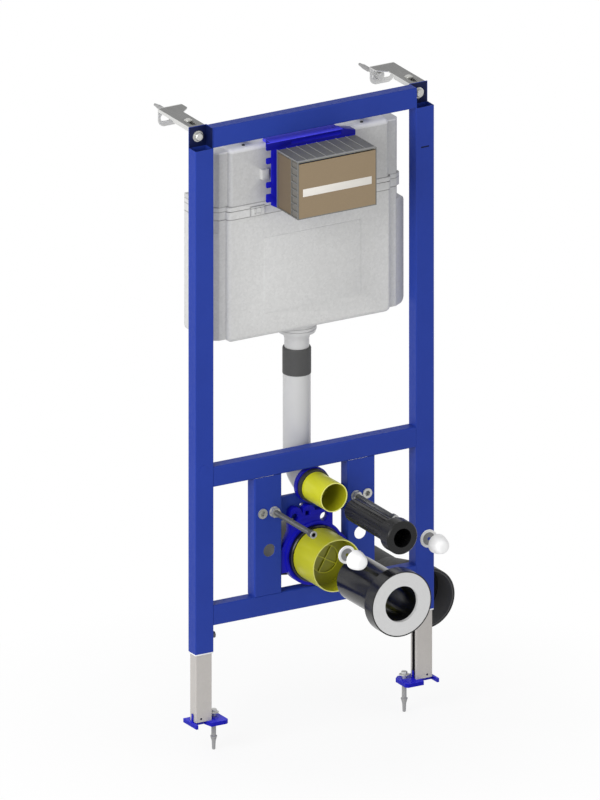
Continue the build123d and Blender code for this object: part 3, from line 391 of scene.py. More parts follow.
class Finish(Nodes):
    """One procedural finish: a shader, and what changes its colour, its roughness and its relief."""

    def __init__(self, name, colour, roughness, **constants):
        self.material = bpy.data.materials.new(name)
        self.material.use_nodes = True
        super().__init__(self.material.node_tree)
        self.shader = self.tree.nodes["Principled BSDF"]
        self.colour = tuple(colour) + (1.0,)
        self.shader.inputs["Base Color"].default_value = self.colour
        self.shader.inputs["Roughness"].default_value = roughness
        for socket, value in constants.items():
            self.shader.inputs[socket.replace("_", " ").title().replace("Ior", "IOR")].default_value = value
        self.place = self.node("ShaderNodeTexCoord").outputs["Object"]
        self.paint = self.colour

    def noise(self, size, detail=3.0, stretch=(1, 1, 1)):
        """Noise with features of about a size in metres, stretched along the axes."""
        mapping = self.node("ShaderNodeMapping", None, {"Vector": self.place, "Scale": stretch})
        inputs = {"Vector": mapping.outputs[0], "Scale": 1 / size, "Detail": detail}
        return Wire(self, self.node("ShaderNodeTexNoise", None, inputs).outputs[0])

    def cells(self, size, output="Color"):
        """Cells of about a size in metres: a grey value each, or the distance from their middle."""
        made = self.node("ShaderNodeTexVoronoi", None, {"Vector": self.place, "Scale": 1 / size})
        if output == "Distance":
            return Wire(self, made.outputs["Distance"])
        grey = self.node("ShaderNodeRGBToBW", None, {0: made.outputs["Color"]})
        return Wire(self, grey.outputs[0])

    def axis(self, letter):
        """The place along one axis, in metres."""
        split = self.node("ShaderNodeSeparateXYZ", None, {0: self.place})
        return Wire(self, split.outputs[letter])

    def between(self, letter, low, high):
        """1 between two places along an axis, and 0 elsewhere."""
        place = self.axis(letter)
        return (place > low) * (place < high)

    def off_axis(self, centre):
        """The distance from a line along Y through a centre, in metres."""
        flat = self.node("ShaderNodeVectorMath", {"operation": "MULTIPLY"}, {0: self.place, 1: (1, 0, 1)})
        away = self.node("ShaderNodeVectorMath", {"operation": "DISTANCE"}, {
            0: flat.outputs[0], 1: (centre.x, 0, centre.z)})
        return Wire(self, away.outputs["Value"])

    def ramp(self, value, low, high, start_at=0.0, end_at=1.0):
        """A value stretched from one range to another, and held inside it."""
        inputs = {"Value": value, 1: low, 2: high, 3: start_at, 4: end_at}
        return Wire(self, self.node("ShaderNodeMapRange", {"clamp": True}, inputs).outputs[0])

    def colour_mix(self, mask, under, over, blend="MIX"):
        """Mixes two colours as a mask says, and makes the result the base colour."""
        mixed = self.node(
            "ShaderNodeMix", {"data_type": "RGBA", "blend_type": blend}, {0: mask, 6: under, 7: over})
        self.paint = mixed.outputs[2]
        self.tree.links.new(self.paint, self.shader.inputs["Base Color"])

    def tint(self, mask, darker, lighter=1.0):
        """Lets the colour run from a darker to a lighter share of itself, as a mask says."""
        low = tuple(channel * darker for channel in self.colour[:3]) + (1.0,)
        high = tuple(min(channel * lighter, 1.0) for channel in self.colour[:3]) + (1.0,)
        self.colour_mix(mask, low, high)

    def shade(self, mask, share):
        """Multiplies the colour by a share where a mask says."""
        self.colour_mix(mask, self.paint, (share, share, share, 1.0), "MULTIPLY")

    def lay(self, mask, colour):
        """Lays another colour over the base colour, as a mask says."""
        self.colour_mix(mask, self.paint, tuple(colour) + (1.0,))

    def rough(self, value):
        """Drives the roughness."""
        self.tree.links.new(value.socket, self.shader.inputs["Roughness"])

    def rough_by(self, noise, low, high):
        """Drives the roughness from one value to another, as noise about a half says."""
        self.rough(self.ramp(noise, 0.3, 0.7, low, high))

    def metal(self, value):
        """Drives how metallic the surface is."""
        self.tree.links.new(value.socket, self.shader.inputs["Metallic"])

    def bump(self, height, distance, strength=1.0):
        """Adds relief of a height in metres."""
        inputs = {"Height": height, "Distance": distance, "Strength": strength}
        made = self.node("ShaderNodeBump", None, inputs)
        self.tree.links.new(made.outputs[0], self.shader.inputs["Normal"])


# Finishes: one for each material slot of the record, and some that only a few pieces have

def frame_paint(colours):
    """Blue powder coat: an even colour with a fine orange peel, and painted shade inside the notched tube
    tops and in the pressed mark.
    """
    finish = Finish("frame_paint", colours.paint, 0.48, specular_ior_level=0.16)
    finish.tint(finish.noise(60 * MM, 2.0), 0.93, 1.06)
    aside = abs(finish.axis("X") - MIDDLE_X)
    near, far = (distance * MM for distance in NOTCH_FROM_MIDDLE)
    front, back = (at(0, y, 0).y for y in NOTCH_FROM_FRONT)
    # Painted shade inside the open tube tops at the uprights' notches.
    notches = (aside > near) * (aside < far) * finish.between("Y", front, back)
    finish.shade(notches * finish.between("Z", NOTCH_LOW - 0.5 * MM, FRAME_TOP - 0.4 * MM), 0.17)
    # Painted shade in the recess of the pressed mark on the right upright.
    mark = finish.between("X", *(at(x, 0, 0).x for x in MARK_X))
    mark = mark * finish.between("Z", *(at(0, 0, z).z for z in MARK_Z))
    finish.shade(mark * (finish.axis("Y") < FRONT_Y + 1 * MM), 0.12)
    finish.rough_by(finish.noise(9 * MM), 0.45, 0.56)
    finish.bump(finish.noise(1.6 * MM, 2.0), 0.05 * MM, 0.5)
    return finish


def galvanised_steel(colours):
    """Hot dip galvanised channel: pale, with faint crystals, and painted shade inside."""
    finish = Finish("galvanised_steel", srgb(183, 179, 175), 0.46, metallic=0.12)
    crystals = finish.cells(5 * MM)
    finish.tint(crystals * 0.5 + finish.noise(30 * MM) * 0.5, 0.93, 1.05)
    skin = 0.7 * MM
    # Painted shade on the inside faces of the leg channels.
    for side in SIDES:
        low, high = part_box("leg_" + side)
        across = finish.between("X", low.x + skin, high.x - skin)
        finish.shade(across * finish.between("Y", low.y + skin, high.y - skin), 0.12)
    finish.rough(finish.ramp(crystals, 0.2, 0.8, 0.4, 0.54))
    finish.bump(finish.noise(1.2 * MM), 0.02 * MM, 0.4)
    return finish


def zinc_sheet(colours):
    """Zinc plated sheet with faint rolling lines, and painted shade on the flat top plates."""
    finish = Finish("zinc_sheet", srgb(214, 214, 212), 0.34, metallic=0.55)
    lines = finish.noise(2.2 * MM, 3.0, (1, 0.06, 1))
    finish.tint(lines * 0.6 + finish.noise(18 * MM) * 0.4, 0.84, 1.06)
    # Painted shade on the brackets' flat top plates.
    plate = finish.between("Z", BRACKET_TOP - 0.4 * MM, BRACKET_TOP + 1 * MM)
    finish.shade(plate * finish.between("Y", FRONT_Y, WALL_Y - 2.3 * MM), 0.27)
    finish.rough_by(lines, 0.26, 0.42)
    finish.bump(lines, 0.02 * MM, 0.35)
    return finish


def plated(name, colour, roughness, spot, shares, gloss, relief, **constants):
    """Plated steel, cloudy in colour and gloss, with a fine relief. The spots and the relief are in mm."""
    finish = Finish(name, colour, roughness, **constants)
    spots = finish.noise(spot * MM, 4.0)
    finish.tint(spots, *shares)
    finish.rough_by(spots, *gloss)
    finish.bump(finish.noise(0.8 * MM), relief * MM, 0.4)
    return finish


def fixing_steel(colours):
    """Zinc plated screws, nuts and washers."""
    colour = srgb(196, 196, 192)
    return plated("fixing_steel", colour, 0.3, 3, (0.78, 1.08), (0.24, 0.4), 0.015, metallic=0.6)


def sleeve_steel(colours):
    """Dark plated steel of the long sleeves, pale on their ends with painted shade in their sockets, and of
    the clamp screws.
    """
    colour = srgb(80, 81, 83)
    finish = plated("sleeve_steel", colour, 0.38, 4, (0.75, 1.2), (0.3, 0.46), 0.015, metallic=0.4)
    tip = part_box("stud_left")[0].y
    finish.lay(finish.between("Y", tip - 1 * MM, tip + 1 * MM), srgb(176, 176, 176))
    for x in (-STUD_X, STUD_X):
        # Painted shade, near black, inside the sockets at the sleeves' ends.
        socket = finish.off_axis(at(x, 0, STUD_Z)) < 4.3 * MM
        finish.lay(socket * finish.between("Y", tip + 0.2 * MM, tip + 8 * MM), srgb(10, 10, 10))
    return finish


def plate_steel(colours):
    """Plain grey steel of the plates in the loose washers."""
    colour = srgb(142, 142, 143)
    return plated("plate_steel", colour, 0.36, 3, (0.7, 1.15), (0.3, 0.44), 0.02, metallic=0.25)


def anchor_steel(colours):
    """Plated floor and wall screws, with their grey plastic plugs beyond the floor and the wall."""
    finish = plated("anchor_steel", srgb(206, 206, 204), 0.34, 3, (0.82, 1.06), (0.28, 0.44), 0.02)
    plug = 1 - (finish.axis("Z") > FEET_Z + 0.1 * MM) * (finish.axis("Y") < WALL_Y + 0.1 * MM)
    finish.lay(plug, srgb(148, 148, 148))
    finish.metal((1 - plug) * 0.6)
    return finish


def blue_plastic(colours):
    """Bright blue moulded plastic with a fine grain, painted highlights on the top of the base's bar and of
    the feet, and painted shade on the bar's front.
    """
    finish = Finish("blue_plastic", colours.blue_plastic, 0.38, specular_ior_level=0.12)
    finish.tint(finish.noise(22 * MM), 0.88, 1.1)
    base_low, base_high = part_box("actuator_base")
    lit_bar_top = finish.between("Z", base_high.z - 0.5 * MM, base_high.z + 1 * MM)
    lit_foot_top = finish.between("Z", FOOT_TOP - 0.5 * MM, FOOT_TOP + 0.5 * MM)
    # Painted highlights on the top faces of the base's bar and of the feet.
    finish.lay(lit_bar_top, srgb(84, 84, 255))
    finish.lay(lit_foot_top, srgb(38, 36, 206))
    # Painted shade on the front face of the bar, under its top.
    front = finish.between("Y", base_low.y - 1 * MM, base_low.y + 0.5 * MM)
    bar = finish.between("Z", base_high.z - 15 * MM, base_high.z - 0.5 * MM)
    finish.shade(front * bar, 0.6)
    finish.rough(finish.ramp(finish.noise(4 * MM), 0.3, 0.7, 0.32, 0.46) + lit_bar_top * 0.4)
    finish.bump(finish.noise(0.7 * MM), 0.03 * MM, 0.5)
    return finish


def lit_lip_blue(colours):
    """Duller blue plastic of the lip behind the opening's base, painted brighter: painted light for a lip
    that lies in the rail's shade.
    """
    # A brighter blue than the moulded plastic, as painted light on the shaded lip.
    finish = Finish("lit_lip_blue", srgb(104, 104, 255), 0.8, specular_ior_level=0.05)
    finish.tint(finish.noise(22 * MM), 0.9, 1.0)
    finish.rough_by(finish.noise(4 * MM), 0.72, 0.86)
    finish.bump(finish.noise(0.7 * MM), 0.03 * MM, 0.5)
    return finish


def yellow_plastic(colours):
    """Yellow green plastic with painted shade deep in the cups and a painted highlight on their rims, with
    faint flow lines along the draw of the mould.
    """
    finish = Finish("yellow_plastic", colours.yellow_plastic, 0.34, subsurface_weight=0.05)
    finish.shader.inputs["Subsurface Radius"].default_value = (3 * MM, 3 * MM, 0.5 * MM)
    flow = finish.noise(5 * MM, 3.0, (1, 0.12, 1))
    finish.tint(flow * 0.6 + finish.noise(26 * MM) * 0.4, 0.9, 1.08)
    for node, axis_z, share, fade, rib_y in PLUGS:
        low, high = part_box(node)
        radius = (high.x - low.x) / 2 - PLUG_WALL * MM
        inside = finish.off_axis(at(0, 0, axis_z)) < radius
        # Painted shade inside the cups, deeper towards the floor, leaving the ribs' front faces lit.
        deep = finish.between("Y", low.y + 0.5 * MM, FRONT_Y + 1 * MM)
        deep = deep * finish.ramp(finish.axis("Y"), low.y, low.y + fade * MM)
        ribs = finish.between("Y", at(0, rib_y - 1, 0).y, at(0, rib_y, 0).y)
        finish.shade(inside * deep * (1 - ribs), share)
        # Painted highlight on the rim of each cup.
        rim = finish.between("Y", low.y - 1 * MM, low.y + 0.5 * MM) * finish.between("Z", low.z, high.z)
        finish.lay(rim, srgb(236, 236, 128))
    finish.shade(finish.axis("Z") < at(0, 0, BETWEEN_PLUGS_Z).z, 0.8)
    finish.rough_by(flow, 0.28, 0.42)
    finish.bump(flow, 0.04 * MM, 0.4)
    return finish


def rubber(name, colour):
    """Matt rubber."""
    finish = Finish(name, colour, 0.62)
    finish.tint(finish.noise(8 * MM), 0.88, 1.1)
    finish.rough_by(finish.noise(2 * MM), 0.56, 0.7)
    finish.bump(finish.noise(0.9 * MM), 0.05 * MM, 0.5)
    return finish


def black_rubber(colours):
    """Black rubber of the lip ring."""
    return rubber("black_rubber", srgb(40, 40, 40))


def cuff_rubber(colours):
    """Dark grey rubber of the pipe cuff."""
    return rubber("cuff_rubber", srgb(66, 66, 66))


def black_plastic(colours):
    """Glossy black plastic, as of drain pipes."""
    finish = Finish("black_plastic", colours.black, 0.2, specular_ior_level=0.4)
    finish.tint(finish.noise(20 * MM), 0.75, 1.3)
    finish.rough_by(finish.noise(6 * MM, 3.0, (1, 0.2, 1)), 0.14, 0.26)
    finish.bump(finish.noise(3 * MM, 2.0, (1, 0.2, 1)), 0.03 * MM, 0.35)
    return finish


def ribbed_black(colours):
    """Duller black plastic of the ribbed flush connector."""
    finish = Finish("ribbed_black", srgb(11, 11, 12), 0.3, specular_ior_level=0.32)
    finish.tint(finish.noise(20 * MM), 0.75, 1.25)
    finish.rough_by(finish.noise(5 * MM, 3.0, (1, 0.2, 1)), 0.24, 0.36)
    finish.bump(finish.noise(2 * MM, 2.0), 0.03 * MM, 0.4)
    return finish


def drain_black(colours):
    """Dull black plastic of the reducer, with painted light that makes the inside of its mouth greyer."""
    finish = Finish("drain_black", srgb(44, 44, 45), 0.6, specular_ior_level=0.25)
    finish.tint(finish.noise(24 * MM), 0.9, 1.1)
    low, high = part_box("waste_reducer")
    radius = (high.x - low.x) / 2
    mouth = Vector(((low.x + high.x) / 2, low.y, high.z - radius))
    wall, depth = 4 * MM, 56 * MM
    # Painted light on the inside of the mouth, lifting its shade to grey.
    inside = finish.off_axis(mouth) < radius - wall
    finish.lay(inside * (finish.axis("Y") < low.y + depth), srgb(104, 104, 105))
    finish.rough_by(finish.noise(6 * MM), 0.54, 0.66)
    finish.bump(finish.noise(3 * MM, 2.0), 0.02 * MM, 0.3)
    return finish


def white_moulding(name, colour):
    """White moulded plastic with a soft gloss."""
    finish = Finish(name, colour, 0.32, subsurface_weight=0.04)
    finish.shader.inputs["Subsurface Radius"].default_value = (2 * MM, 2 * MM, 2 * MM)
    finish.tint(finish.noise(30 * MM), 0.97, 1.02)
    finish.rough_by(finish.noise(5 * MM), 0.28, 0.4)
    finish.bump(finish.noise(1.5 * MM), 0.02 * MM, 0.4)
    return finish


def white_plastic(colours):
    """White plastic of the caps, the loose washers and the leg bushes."""
    return white_moulding("white_plastic", colours.white)


def strip_paper(colours):
    """Plain pale paper of the blank strip."""
    return white_moulding("strip_paper", srgb(222, 218, 211))


def pipe_white(colours):
    """Greyer white plastic of the flush pipe and the outlet."""
    return white_moulding("pipe_white", srgb(194, 194, 194))


def front_outline(finish, across, above_seam, line):
    """1 on the outline of a rectangle given in millimetres, seen from the front, and 0 elsewhere."""
    left, right = (at(x, 0, 0).x for x in across)
    low, high = (SEAM_Z + height * MM for height in above_seam)
    line = line * MM
    whole = finish.between("X", left, right) * finish.between("Z", low, high)
    inner = finish.between("X", left + line, right - line) * finish.between("Z", low + line, high - line)
    return whole - inner


def cistern_foam(colours):
    """Pale moulded insulation: beads pressed together, a painted highlight on the top edge, painted shade
    on the upper front and painted shade lines at the seam and round its clip.
    """
    finish = Finish("cistern_foam", colours.foam, 0.5, specular_ior_level=0.25)
    beads = finish.cells(3.2 * MM, "Distance")
    patches = finish.cells(4.2 * MM)
    grain = finish.noise(1.8 * MM, 3.0)
    finish.tint(grain * 0.45 + patches * 0.4 + finish.noise(40 * MM) * 0.15, 0.84, 1.12)
    # Painted shade on the upper front, below the top edge.
    finish.shade(finish.between("Z", SEAM_Z + 26 * MM, CISTERN_TOP - 10 * MM), 0.88)
    # Painted highlight on the top and its rounded edge, which lie in the rail's shade.
    lit_top_edge = finish.ramp(finish.axis("Z"), CISTERN_TOP - 11 * MM, CISTERN_TOP - 4 * MM)
    finish.lay(lit_top_edge, srgb(252, 252, 252))
    # Painted shade lines in the grooves of the seam.
    for height, width, share in SEAM_LINES:
        line = abs(finish.axis("Z") - (SEAM_Z + height * MM)) < width * MM
        finish.shade(line, share)
    # Painted shade outlines round the seam clip and its tab.
    for outline, share in ((SEAM_CLIP, 0.6), (CLIP_TAB, 0.72)):
        finish.shade(front_outline(finish, *outline) * (finish.axis("Y") < CISTERN_FRONT), share)
    finish.rough_by(grain, 0.42, 0.6)
    finish.bump(beads * 0.7 + grain * 0.6, 0.16 * MM, 0.5)
    return finish


def cardboard(colours):
    """Brown board with fibres and faint flutes, its sides in the shade of the cage."""
    finish = Finish("cardboard", colours.board, 0.78)
    fibres = finish.noise(1.4 * MM, 5.0, (0.25, 1, 1))
    specks = finish.noise(0.7 * MM, 2.0)
    finish.tint(fibres * 0.6 + specks * 0.25 + finish.noise(35 * MM) * 0.15, 0.88, 1.1)
    low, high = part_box("box_core")
    sides = 1 - finish.between("X", low.x + 0.5 * MM, high.x - 0.5 * MM)
    finish.shade(sides, 0.5)
    front_part = 26 * MM
    finish.lay(sides * finish.between("Y", low.y, low.y + front_part), srgb(104, 101, 95))
    wave = finish.node(
        "ShaderNodeTexWave", {"wave_type": "BANDS", "bands_direction": "Z"},
        {"Vector": finish.place, "Scale": 1 / (28 * MM), "Distortion": 0.4},
    )
    flutes = Wire(finish, wave.outputs["Fac"])
    finish.bump(flutes * 0.3 + fibres * 0.5, 0.08 * MM, 0.5)
    return finish


def grey_plastic(colours):
    """Grey moulded plastic of the cage, with a painted highlight on the tops of its ribs."""
    finish = Finish("grey_plastic", srgb(108, 108, 105), 0.5)
    finish.tint(finish.noise(5 * MM), 0.86, 1.12)
    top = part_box("box_cage")[1].z
    # Painted highlight on the tops of the cage's ribs.
    finish.lay(finish.between("Z", top - 0.4 * MM, top + 1 * MM), srgb(158, 158, 155))
    finish.rough_by(finish.noise(3 * MM), 0.44, 0.6)
    finish.bump(finish.noise(1.0 * MM), 0.05 * MM, 0.5)
    return finish


def pale_seal(colours):
    """Soft pale grey ring with a fine mottle."""
    finish = Finish("pale_seal", srgb(206, 206, 206), 0.55)
    mottle = finish.noise(2.2 * MM, 4.0)
    finish.tint(mottle, 0.9, 1.06)
    finish.rough_by(mottle, 0.5, 0.64)
    finish.bump(mottle, 0.05 * MM, 0.5)
    return finish


# Each of these makes the finish of its own name
FINISH_MAKERS = (
    frame_paint, galvanised_steel, zinc_sheet, fixing_steel, blue_plastic, yellow_plastic, black_rubber,
    black_plastic, white_plastic, cistern_foam, cardboard, grey_plastic, pale_seal, sleeve_steel,
    anchor_steel, plate_steel, cuff_rubber, pipe_white, strip_paper, ribbed_black, lit_lip_blue, drain_black,
)

# Pieces of the frame whose finish isn't the one named for their material slot
OWN_FINISH = {
    "clamp_screws": "sleeve_steel",
    "flush_connector": "ribbed_black",
    "flush_pipe": "pipe_white",
    "foot_anchor_left": "anchor_steel",
    "foot_anchor_right": "anchor_steel",
    "outlet_neck": "pipe_white",
    "pipe_cuff": "cuff_rubber",
    "wall_screws": "anchor_steel",
    "waste_reducer": "drain_black",
}
FINISHES = {}


# Operators, one for each piece or group of like pieces

class TOILETFRAME_OT_finishes(bpy.types.Operator):
    """Make the finishes and coat every piece of the frame"""

    bl_idname = "toiletframe.finishes"
    bl_label = "Coat the frame pieces"

    def execute(self, context):
        for maker in FINISH_MAKERS:
            FINISHES[maker.__name__] = maker(context.scene.frame_colours)
        for row in frame["record"]["subparts"]:
            slot = row["material_slot"]
            node = NODES[row["node"]]
            node.data.materials.clear()
            node.data.materials.append(FINISHES[OWN_FINISH.get(row["node"], slot)].material)
        return {"FINISHED"}


class TOILETFRAME_OT_cistern(bpy.types.Operator):
    """Round the edges of the cistern's two moulded halves"""

    bl_idname = "toiletframe.cistern"
    bl_label = "Cistern halves"

    def execute(self, context):
        edge = context.scene.frame_sizes.foam_edge
        for node in ("cistern_lower", "cistern_upper"):
            half = merged_copy(node, node + "_moulded")
            soften(half, edge, 30, 3)
            finished(half, "frame", "cistern_foam", node)
        return {"FINISHED"}


class TOILETFRAME_OT_blue_mouldings(bpy.types.Operator):
    """Round the edges of the opening's base and of the waste holder, and add the base's lip"""

    bl_idname = "toiletframe.blue_mouldings"
    bl_label = "Blue mouldings"

    def execute(self, context):
        edge = context.scene.frame_sizes.edge
        for node in ("actuator_base", "waste_holder"):
            moulding = merged_copy(node, node + "_moulded")
            soften(moulding, edge)
            finished(moulding, "frame", "blue_plastic", node)
        low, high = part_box("actuator_base")
        back = at(0, 18, 0).y
        lip_low = Vector((low.x + 11 * MM, back - 1 * MM, CISTERN_TOP + 0.5 * MM))
        lip_high = Vector((high.x - 29.5 * MM, back + 12 * MM, high.z))
        lip = bar("actuator_base_lip", lip_low, lip_high, edge)
        finished(lip, "frame", "blue_plastic", finish="lit_lip_blue")
        return {"FINISHED"}


class TOILETFRAME_OT_box(bpy.types.Operator):
    """Add the blank pale strip to the front of the board box"""

    bl_idname = "toiletframe.box"
    bl_label = "Box in the opening"

    def execute(self, context):
        low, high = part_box("box_core")
        size = Vector((151, 0.3, 15.5)) * MM
        middle = ((low.x + high.x) / 2, low.y - size.y / 2, low.z + 0.46 * (high.z - low.z))
        strip = start("cube", size=1, location=middle, scale=size)
        strip.name = "box_strip"
        soften(strip, 0.1 * MM)
        finished(strip, "frame", "white_plastic", finish="strip_paper")
        return {"FINISHED"}


class TOILETFRAME_OT_sleeves(bpy.types.Operator):
    """Turn the two long fixing sleeves with their ridges"""

    bl_idname = "toiletframe.sleeves"
    bl_label = "Fixing sleeves"

    def execute(self, context):
        pitch = context.scene.frame_sizes.thread_pitch
        root, crest = 4.9 * MM, 5.5 * MM
        socket_r, socket_deep = 4.0 * MM, 5 * MM
        collar_long = 12 * MM
        for side in SIDES:
            node = "stud_" + side
            low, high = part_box(node)
            collar_r = (high.x - low.x) / 2 + 0.6 * MM
            collar_back = low.y + collar_long
            profile = [
                (0, low.y + socket_deep), (socket_r - 0.2 * MM, low.y + socket_deep),
                (socket_r, low.y + 0.4 * MM), (socket_r + 0.4 * MM, low.y),
                (collar_r - 0.6 * MM, low.y), (collar_r, low.y + 0.6 * MM),
                (collar_r, collar_back - 0.5 * MM), (collar_r - 0.5 * MM, collar_back),
            ]
            for index in range(int((high.y - collar_back - 1 * MM) / pitch)):
                ridge = collar_back + index * pitch
                profile.append((root, ridge + 0.25 * pitch))
                profile += [(crest, ridge + 0.6 * pitch), (crest, ridge + 0.9 * pitch)]
            profile += [(root, high.y - 0.4 * MM), (root - 0.5 * MM, high.y), (0, high.y)]
            sleeve = turned(node + "_ridged", profile, axis_of(node), 36, closed=False)
            smooth(sleeve, 28)
            finished(sleeve, "frame", "fixing_steel", node, finish="sleeve_steel")
        return {"FINISHED"}


class TOILETFRAME_OT_washers(bpy.types.Operator):
    """Add the steel plates that sit in the two loose washers"""

    bl_idname = "toiletframe.washers"
    bl_label = "Loose washers"

    def execute(self, context):
        steps = context.scene.frame_sizes.round_steps
        for side in SIDES:
            node = "washer_" + side
            low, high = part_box(node)
            plate_r = (high.x - low.x) / 2 - 5.3 * MM
            hole_r = 3.2 * MM
            front = low.y + 0.5 * MM
            back = low.y + 1.0 * MM
            profile = [
                (hole_r, front), (plate_r - 0.3 * MM, front), (plate_r, front + 0.2 * MM),
                (plate_r, back), (hole_r, back),
            ]
            plate = turned(node + "_plate", profile, axis_of(node), steps)
            smooth(plate)
            finished(plate, "frame", "fixing_steel", finish="plate_steel")
        return {"FINISHED"}


class TOILETFRAME_OT_caps(bpy.types.Operator):
    """Turn the two loose caps: hollow, blunt cones with a round nose"""

    bl_idname = "toiletframe.caps"
    bl_label = "Caps"

    def execute(self, context):
        steps = context.scene.frame_sizes.round_steps
        wall = 1.8 * MM
        # Shares of the rim's radius and of the depth, from the nose to the rim
        outline = [
            (0.26, 1.0), (0.47, 0.985), (0.6, 0.94), (0.68, 0.88), (0.755, 0.79),
            (0.83, 0.64), (0.9, 0.45), (0.96, 0.25), (0.99, 0.12), (1.0, 0.0),
        ]
        for side in SIDES:
            node = "cap_" + side
            low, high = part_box(node)
            radius, deep = (high.x - low.x) / 2, high.y - low.y
            profile = [(0, low.y)]
            profile += [(across * radius, high.y - along * deep) for across, along in outline]
            radius, deep = radius - wall, deep - wall
            profile += [(across * radius, high.y - along * deep) for across, along in reversed(outline)]
            profile.append((0, low.y + wall))
            cap = turned(node + "_turned", profile, axis_of(node), steps, closed=False)
            smooth(cap, 40)
            finished(cap, "frame", "white_plastic", node)
        return {"FINISHED"}


class TOILETFRAME_OT_flutes(bpy.types.Operator):
    """Add the long ribs round the pipe of the flush connector"""

    bl_idname = "toiletframe.flutes"
    bl_label = "Flush connector ribs"

    def execute(self, context):
        count = context.scene.frame_sizes.flutes
        axis = at(0, -283, FLUSH_Z)
        pipe_r, length = 22.5 * MM, 130 * MM
        low = axis + Vector((-1 * MM, 0, pipe_r - 1 * MM))
        high = axis + Vector((1 * MM, length, pipe_r + 0.9 * MM))
        rib = bar("rib", low, high, 0.45 * MM)
        moves = []
        for index in range(1, count):
            turn = Matrix.Rotation(2 * pi * index / count, 4, "Y")
            moves.append(Matrix.Translation(axis) @ turn @ Matrix.Translation(-axis))
        ribs = joined("flush_connector_ribs", [rib] + copies_by(rib, moves))
        smooth(ribs)
        finished(ribs, "frame", "black_plastic", finish="ribbed_black")
        return {"FINISHED"}


class TOILETFRAME_OT_leg_bushes(bpy.types.Operator):
    """Add the pale plastic bushes that guide the legs at the ends of the uprights"""

    bl_idname = "toiletframe.leg_bushes"
    bl_label = "Leg bushes"

    def execute(self, context):
        gap, wall, tall = 0.35 * MM, 1.3 * MM, 3 * MM
        for side in SIDES:
            upright_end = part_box("upright_" + side)[0].z
            leg_low, leg_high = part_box("leg_" + side)
            size = leg_high - leg_low + Vector((1, 1, 0)) * 2 * (gap + wall)
            size.z = tall
            middle = axis_of("leg_" + side, "z")
            middle.z = upright_end - tall / 2 - 0.05 * MM
            bush = start("cube", size=1, location=middle, scale=size)
            bush.name = "leg_bush_" + side
            choose(bush, lambda normal: abs(normal.z) > 0.9)
            bpy.ops.mesh.delete(type="FACE")
            leave()
            use_modifier(bush, "SOLIDIFY", thickness=wall, offset=-1)
            soften(bush, 0.3 * MM)
            finished(bush, "frame", "white_plastic")
        return {"FINISHED"}


class TOILETFRAME_OT_floor_bolts(bpy.types.Operator):
    """Turn the floor bolts, not yet screwed home, with their plugs, flanges and hexagon heads"""

    bl_idname = "toiletframe.floor_bolts"
    bl_label = "Floor bolts"

    def execute(self, context):
        # Radius and height above the feet in millimetres: the plug, the shank, then the flange
        outline = [
            (0, -60), (2.2, -60), (3.2, -59), (3.8, -44.5), (4.0, -42.5), (6.8, -32.5), (4.6, -30.5),
            (4.6, -0.1), (4.0, 0.1), (4.0, 14.6), (9.4, 14.6), (10.4, 15.2), (10.4, 16.0),
            (9.6, 16.6), (6.6, 17.6), (0, 17.6),
        ]
        profile = [(radius * MM, FEET_Z + height * MM) for radius, height in outline]
        head_middle, head_r, head_tall = 19.5 * MM, 6.3 * MM, 5 * MM
        for side in SIDES:
            node = "foot_anchor_" + side
            axis = axis_of(node, "z")
            bolt = turned(node + "_turned", profile, axis, 48, "Z", closed=False)
            smooth(bolt, 30)
            place = Vector((axis.x, axis.y, FEET_Z + head_middle))
            head = start("cylinder", vertices=6, radius=head_r, depth=head_tall, location=place)
            soften(head, 0.6 * MM, segments=3)
            bolt = joined(node + "_turned", [bolt, head])
            finished(bolt, "leg_" + side, "fixing_steel", node, finish="anchor_steel")
        return {"FINISHED"}


class TOILETFRAME_OT_small_fixings(bpy.types.Operator):
    """Add the plugs on the cistern's top, the screw in the sheet between the posts and the clip's tab"""

    bl_idname = "toiletframe.small_fixings"
    bl_label = "Small fixings"

    def execute(self, context):
        self.cistern_plugs()
        self.sheet_screw()
        self.clip_tab()
        return {"FINISHED"}

    def cistern_plugs(self):
        """Two round plugs that stand a little above the cistern's top."""
        radius, chamfer = 3.2 * MM, 0.6 * MM
        top, sunk = CISTERN_TOP + 1.4 * MM, CISTERN_TOP - 0.5 * MM
        profile = [(0, top), (radius - chamfer, top), (radius, top - chamfer), (radius, sunk), (0, sunk)]
        for name, x in (("left", -141), ("right", 119)):
            axis = at(x, 28.5, 0)
            axis.z = 0
            plug = turned("cistern_plug_" + name, profile, axis, 24, "Z", closed=False)
            finished(smooth(plug), "frame", "grey_plastic", finish="black_rubber")

    def sheet_screw(self):
        """The low round head of the screw in the folded sheet."""
        radius = 3.6 * MM
        sheet = at(0, 18, 0).y
        profile = [
            (0, sheet - 2.2 * MM), (radius - 1 * MM, sheet - 2 * MM), (radius, sheet - 1 * MM),
            (radius, sheet), (0, sheet),
        ]
        axis = at(-20, 0, 403)
        axis.y = 0
        screw = turned("sheet_screw", profile, axis, 32, closed=False)
        finished(smooth(screw), "frame", "fixing_steel")

    def clip_tab(self):
        """The tab in the seam clip: a raised frame, open at its top."""
        face = at(0, 15, 0).y
        front, back = face - 0.8 * MM, face + 0.3 * MM
        left, right = at(-122.5, 0, 0).x, at(-110.5, 0, 0).x
        low, high = SEAM_Z + 5 * MM, SEAM_Z + 16.5 * MM
        wide = 1.6 * MM
        bars = []
        for x0, x1, z0, z1 in (
            (left, left + wide, low, high),
            (right - wide, right, low, high),
            (left, right, low, low + wide),
        ):
            bars.append(bar("tab", Vector((x0, front, z0)), Vector((x1, back, z1)), 0.2 * MM))
        finished(joined("seam_clip_tab", bars), "frame", "cistern_foam")


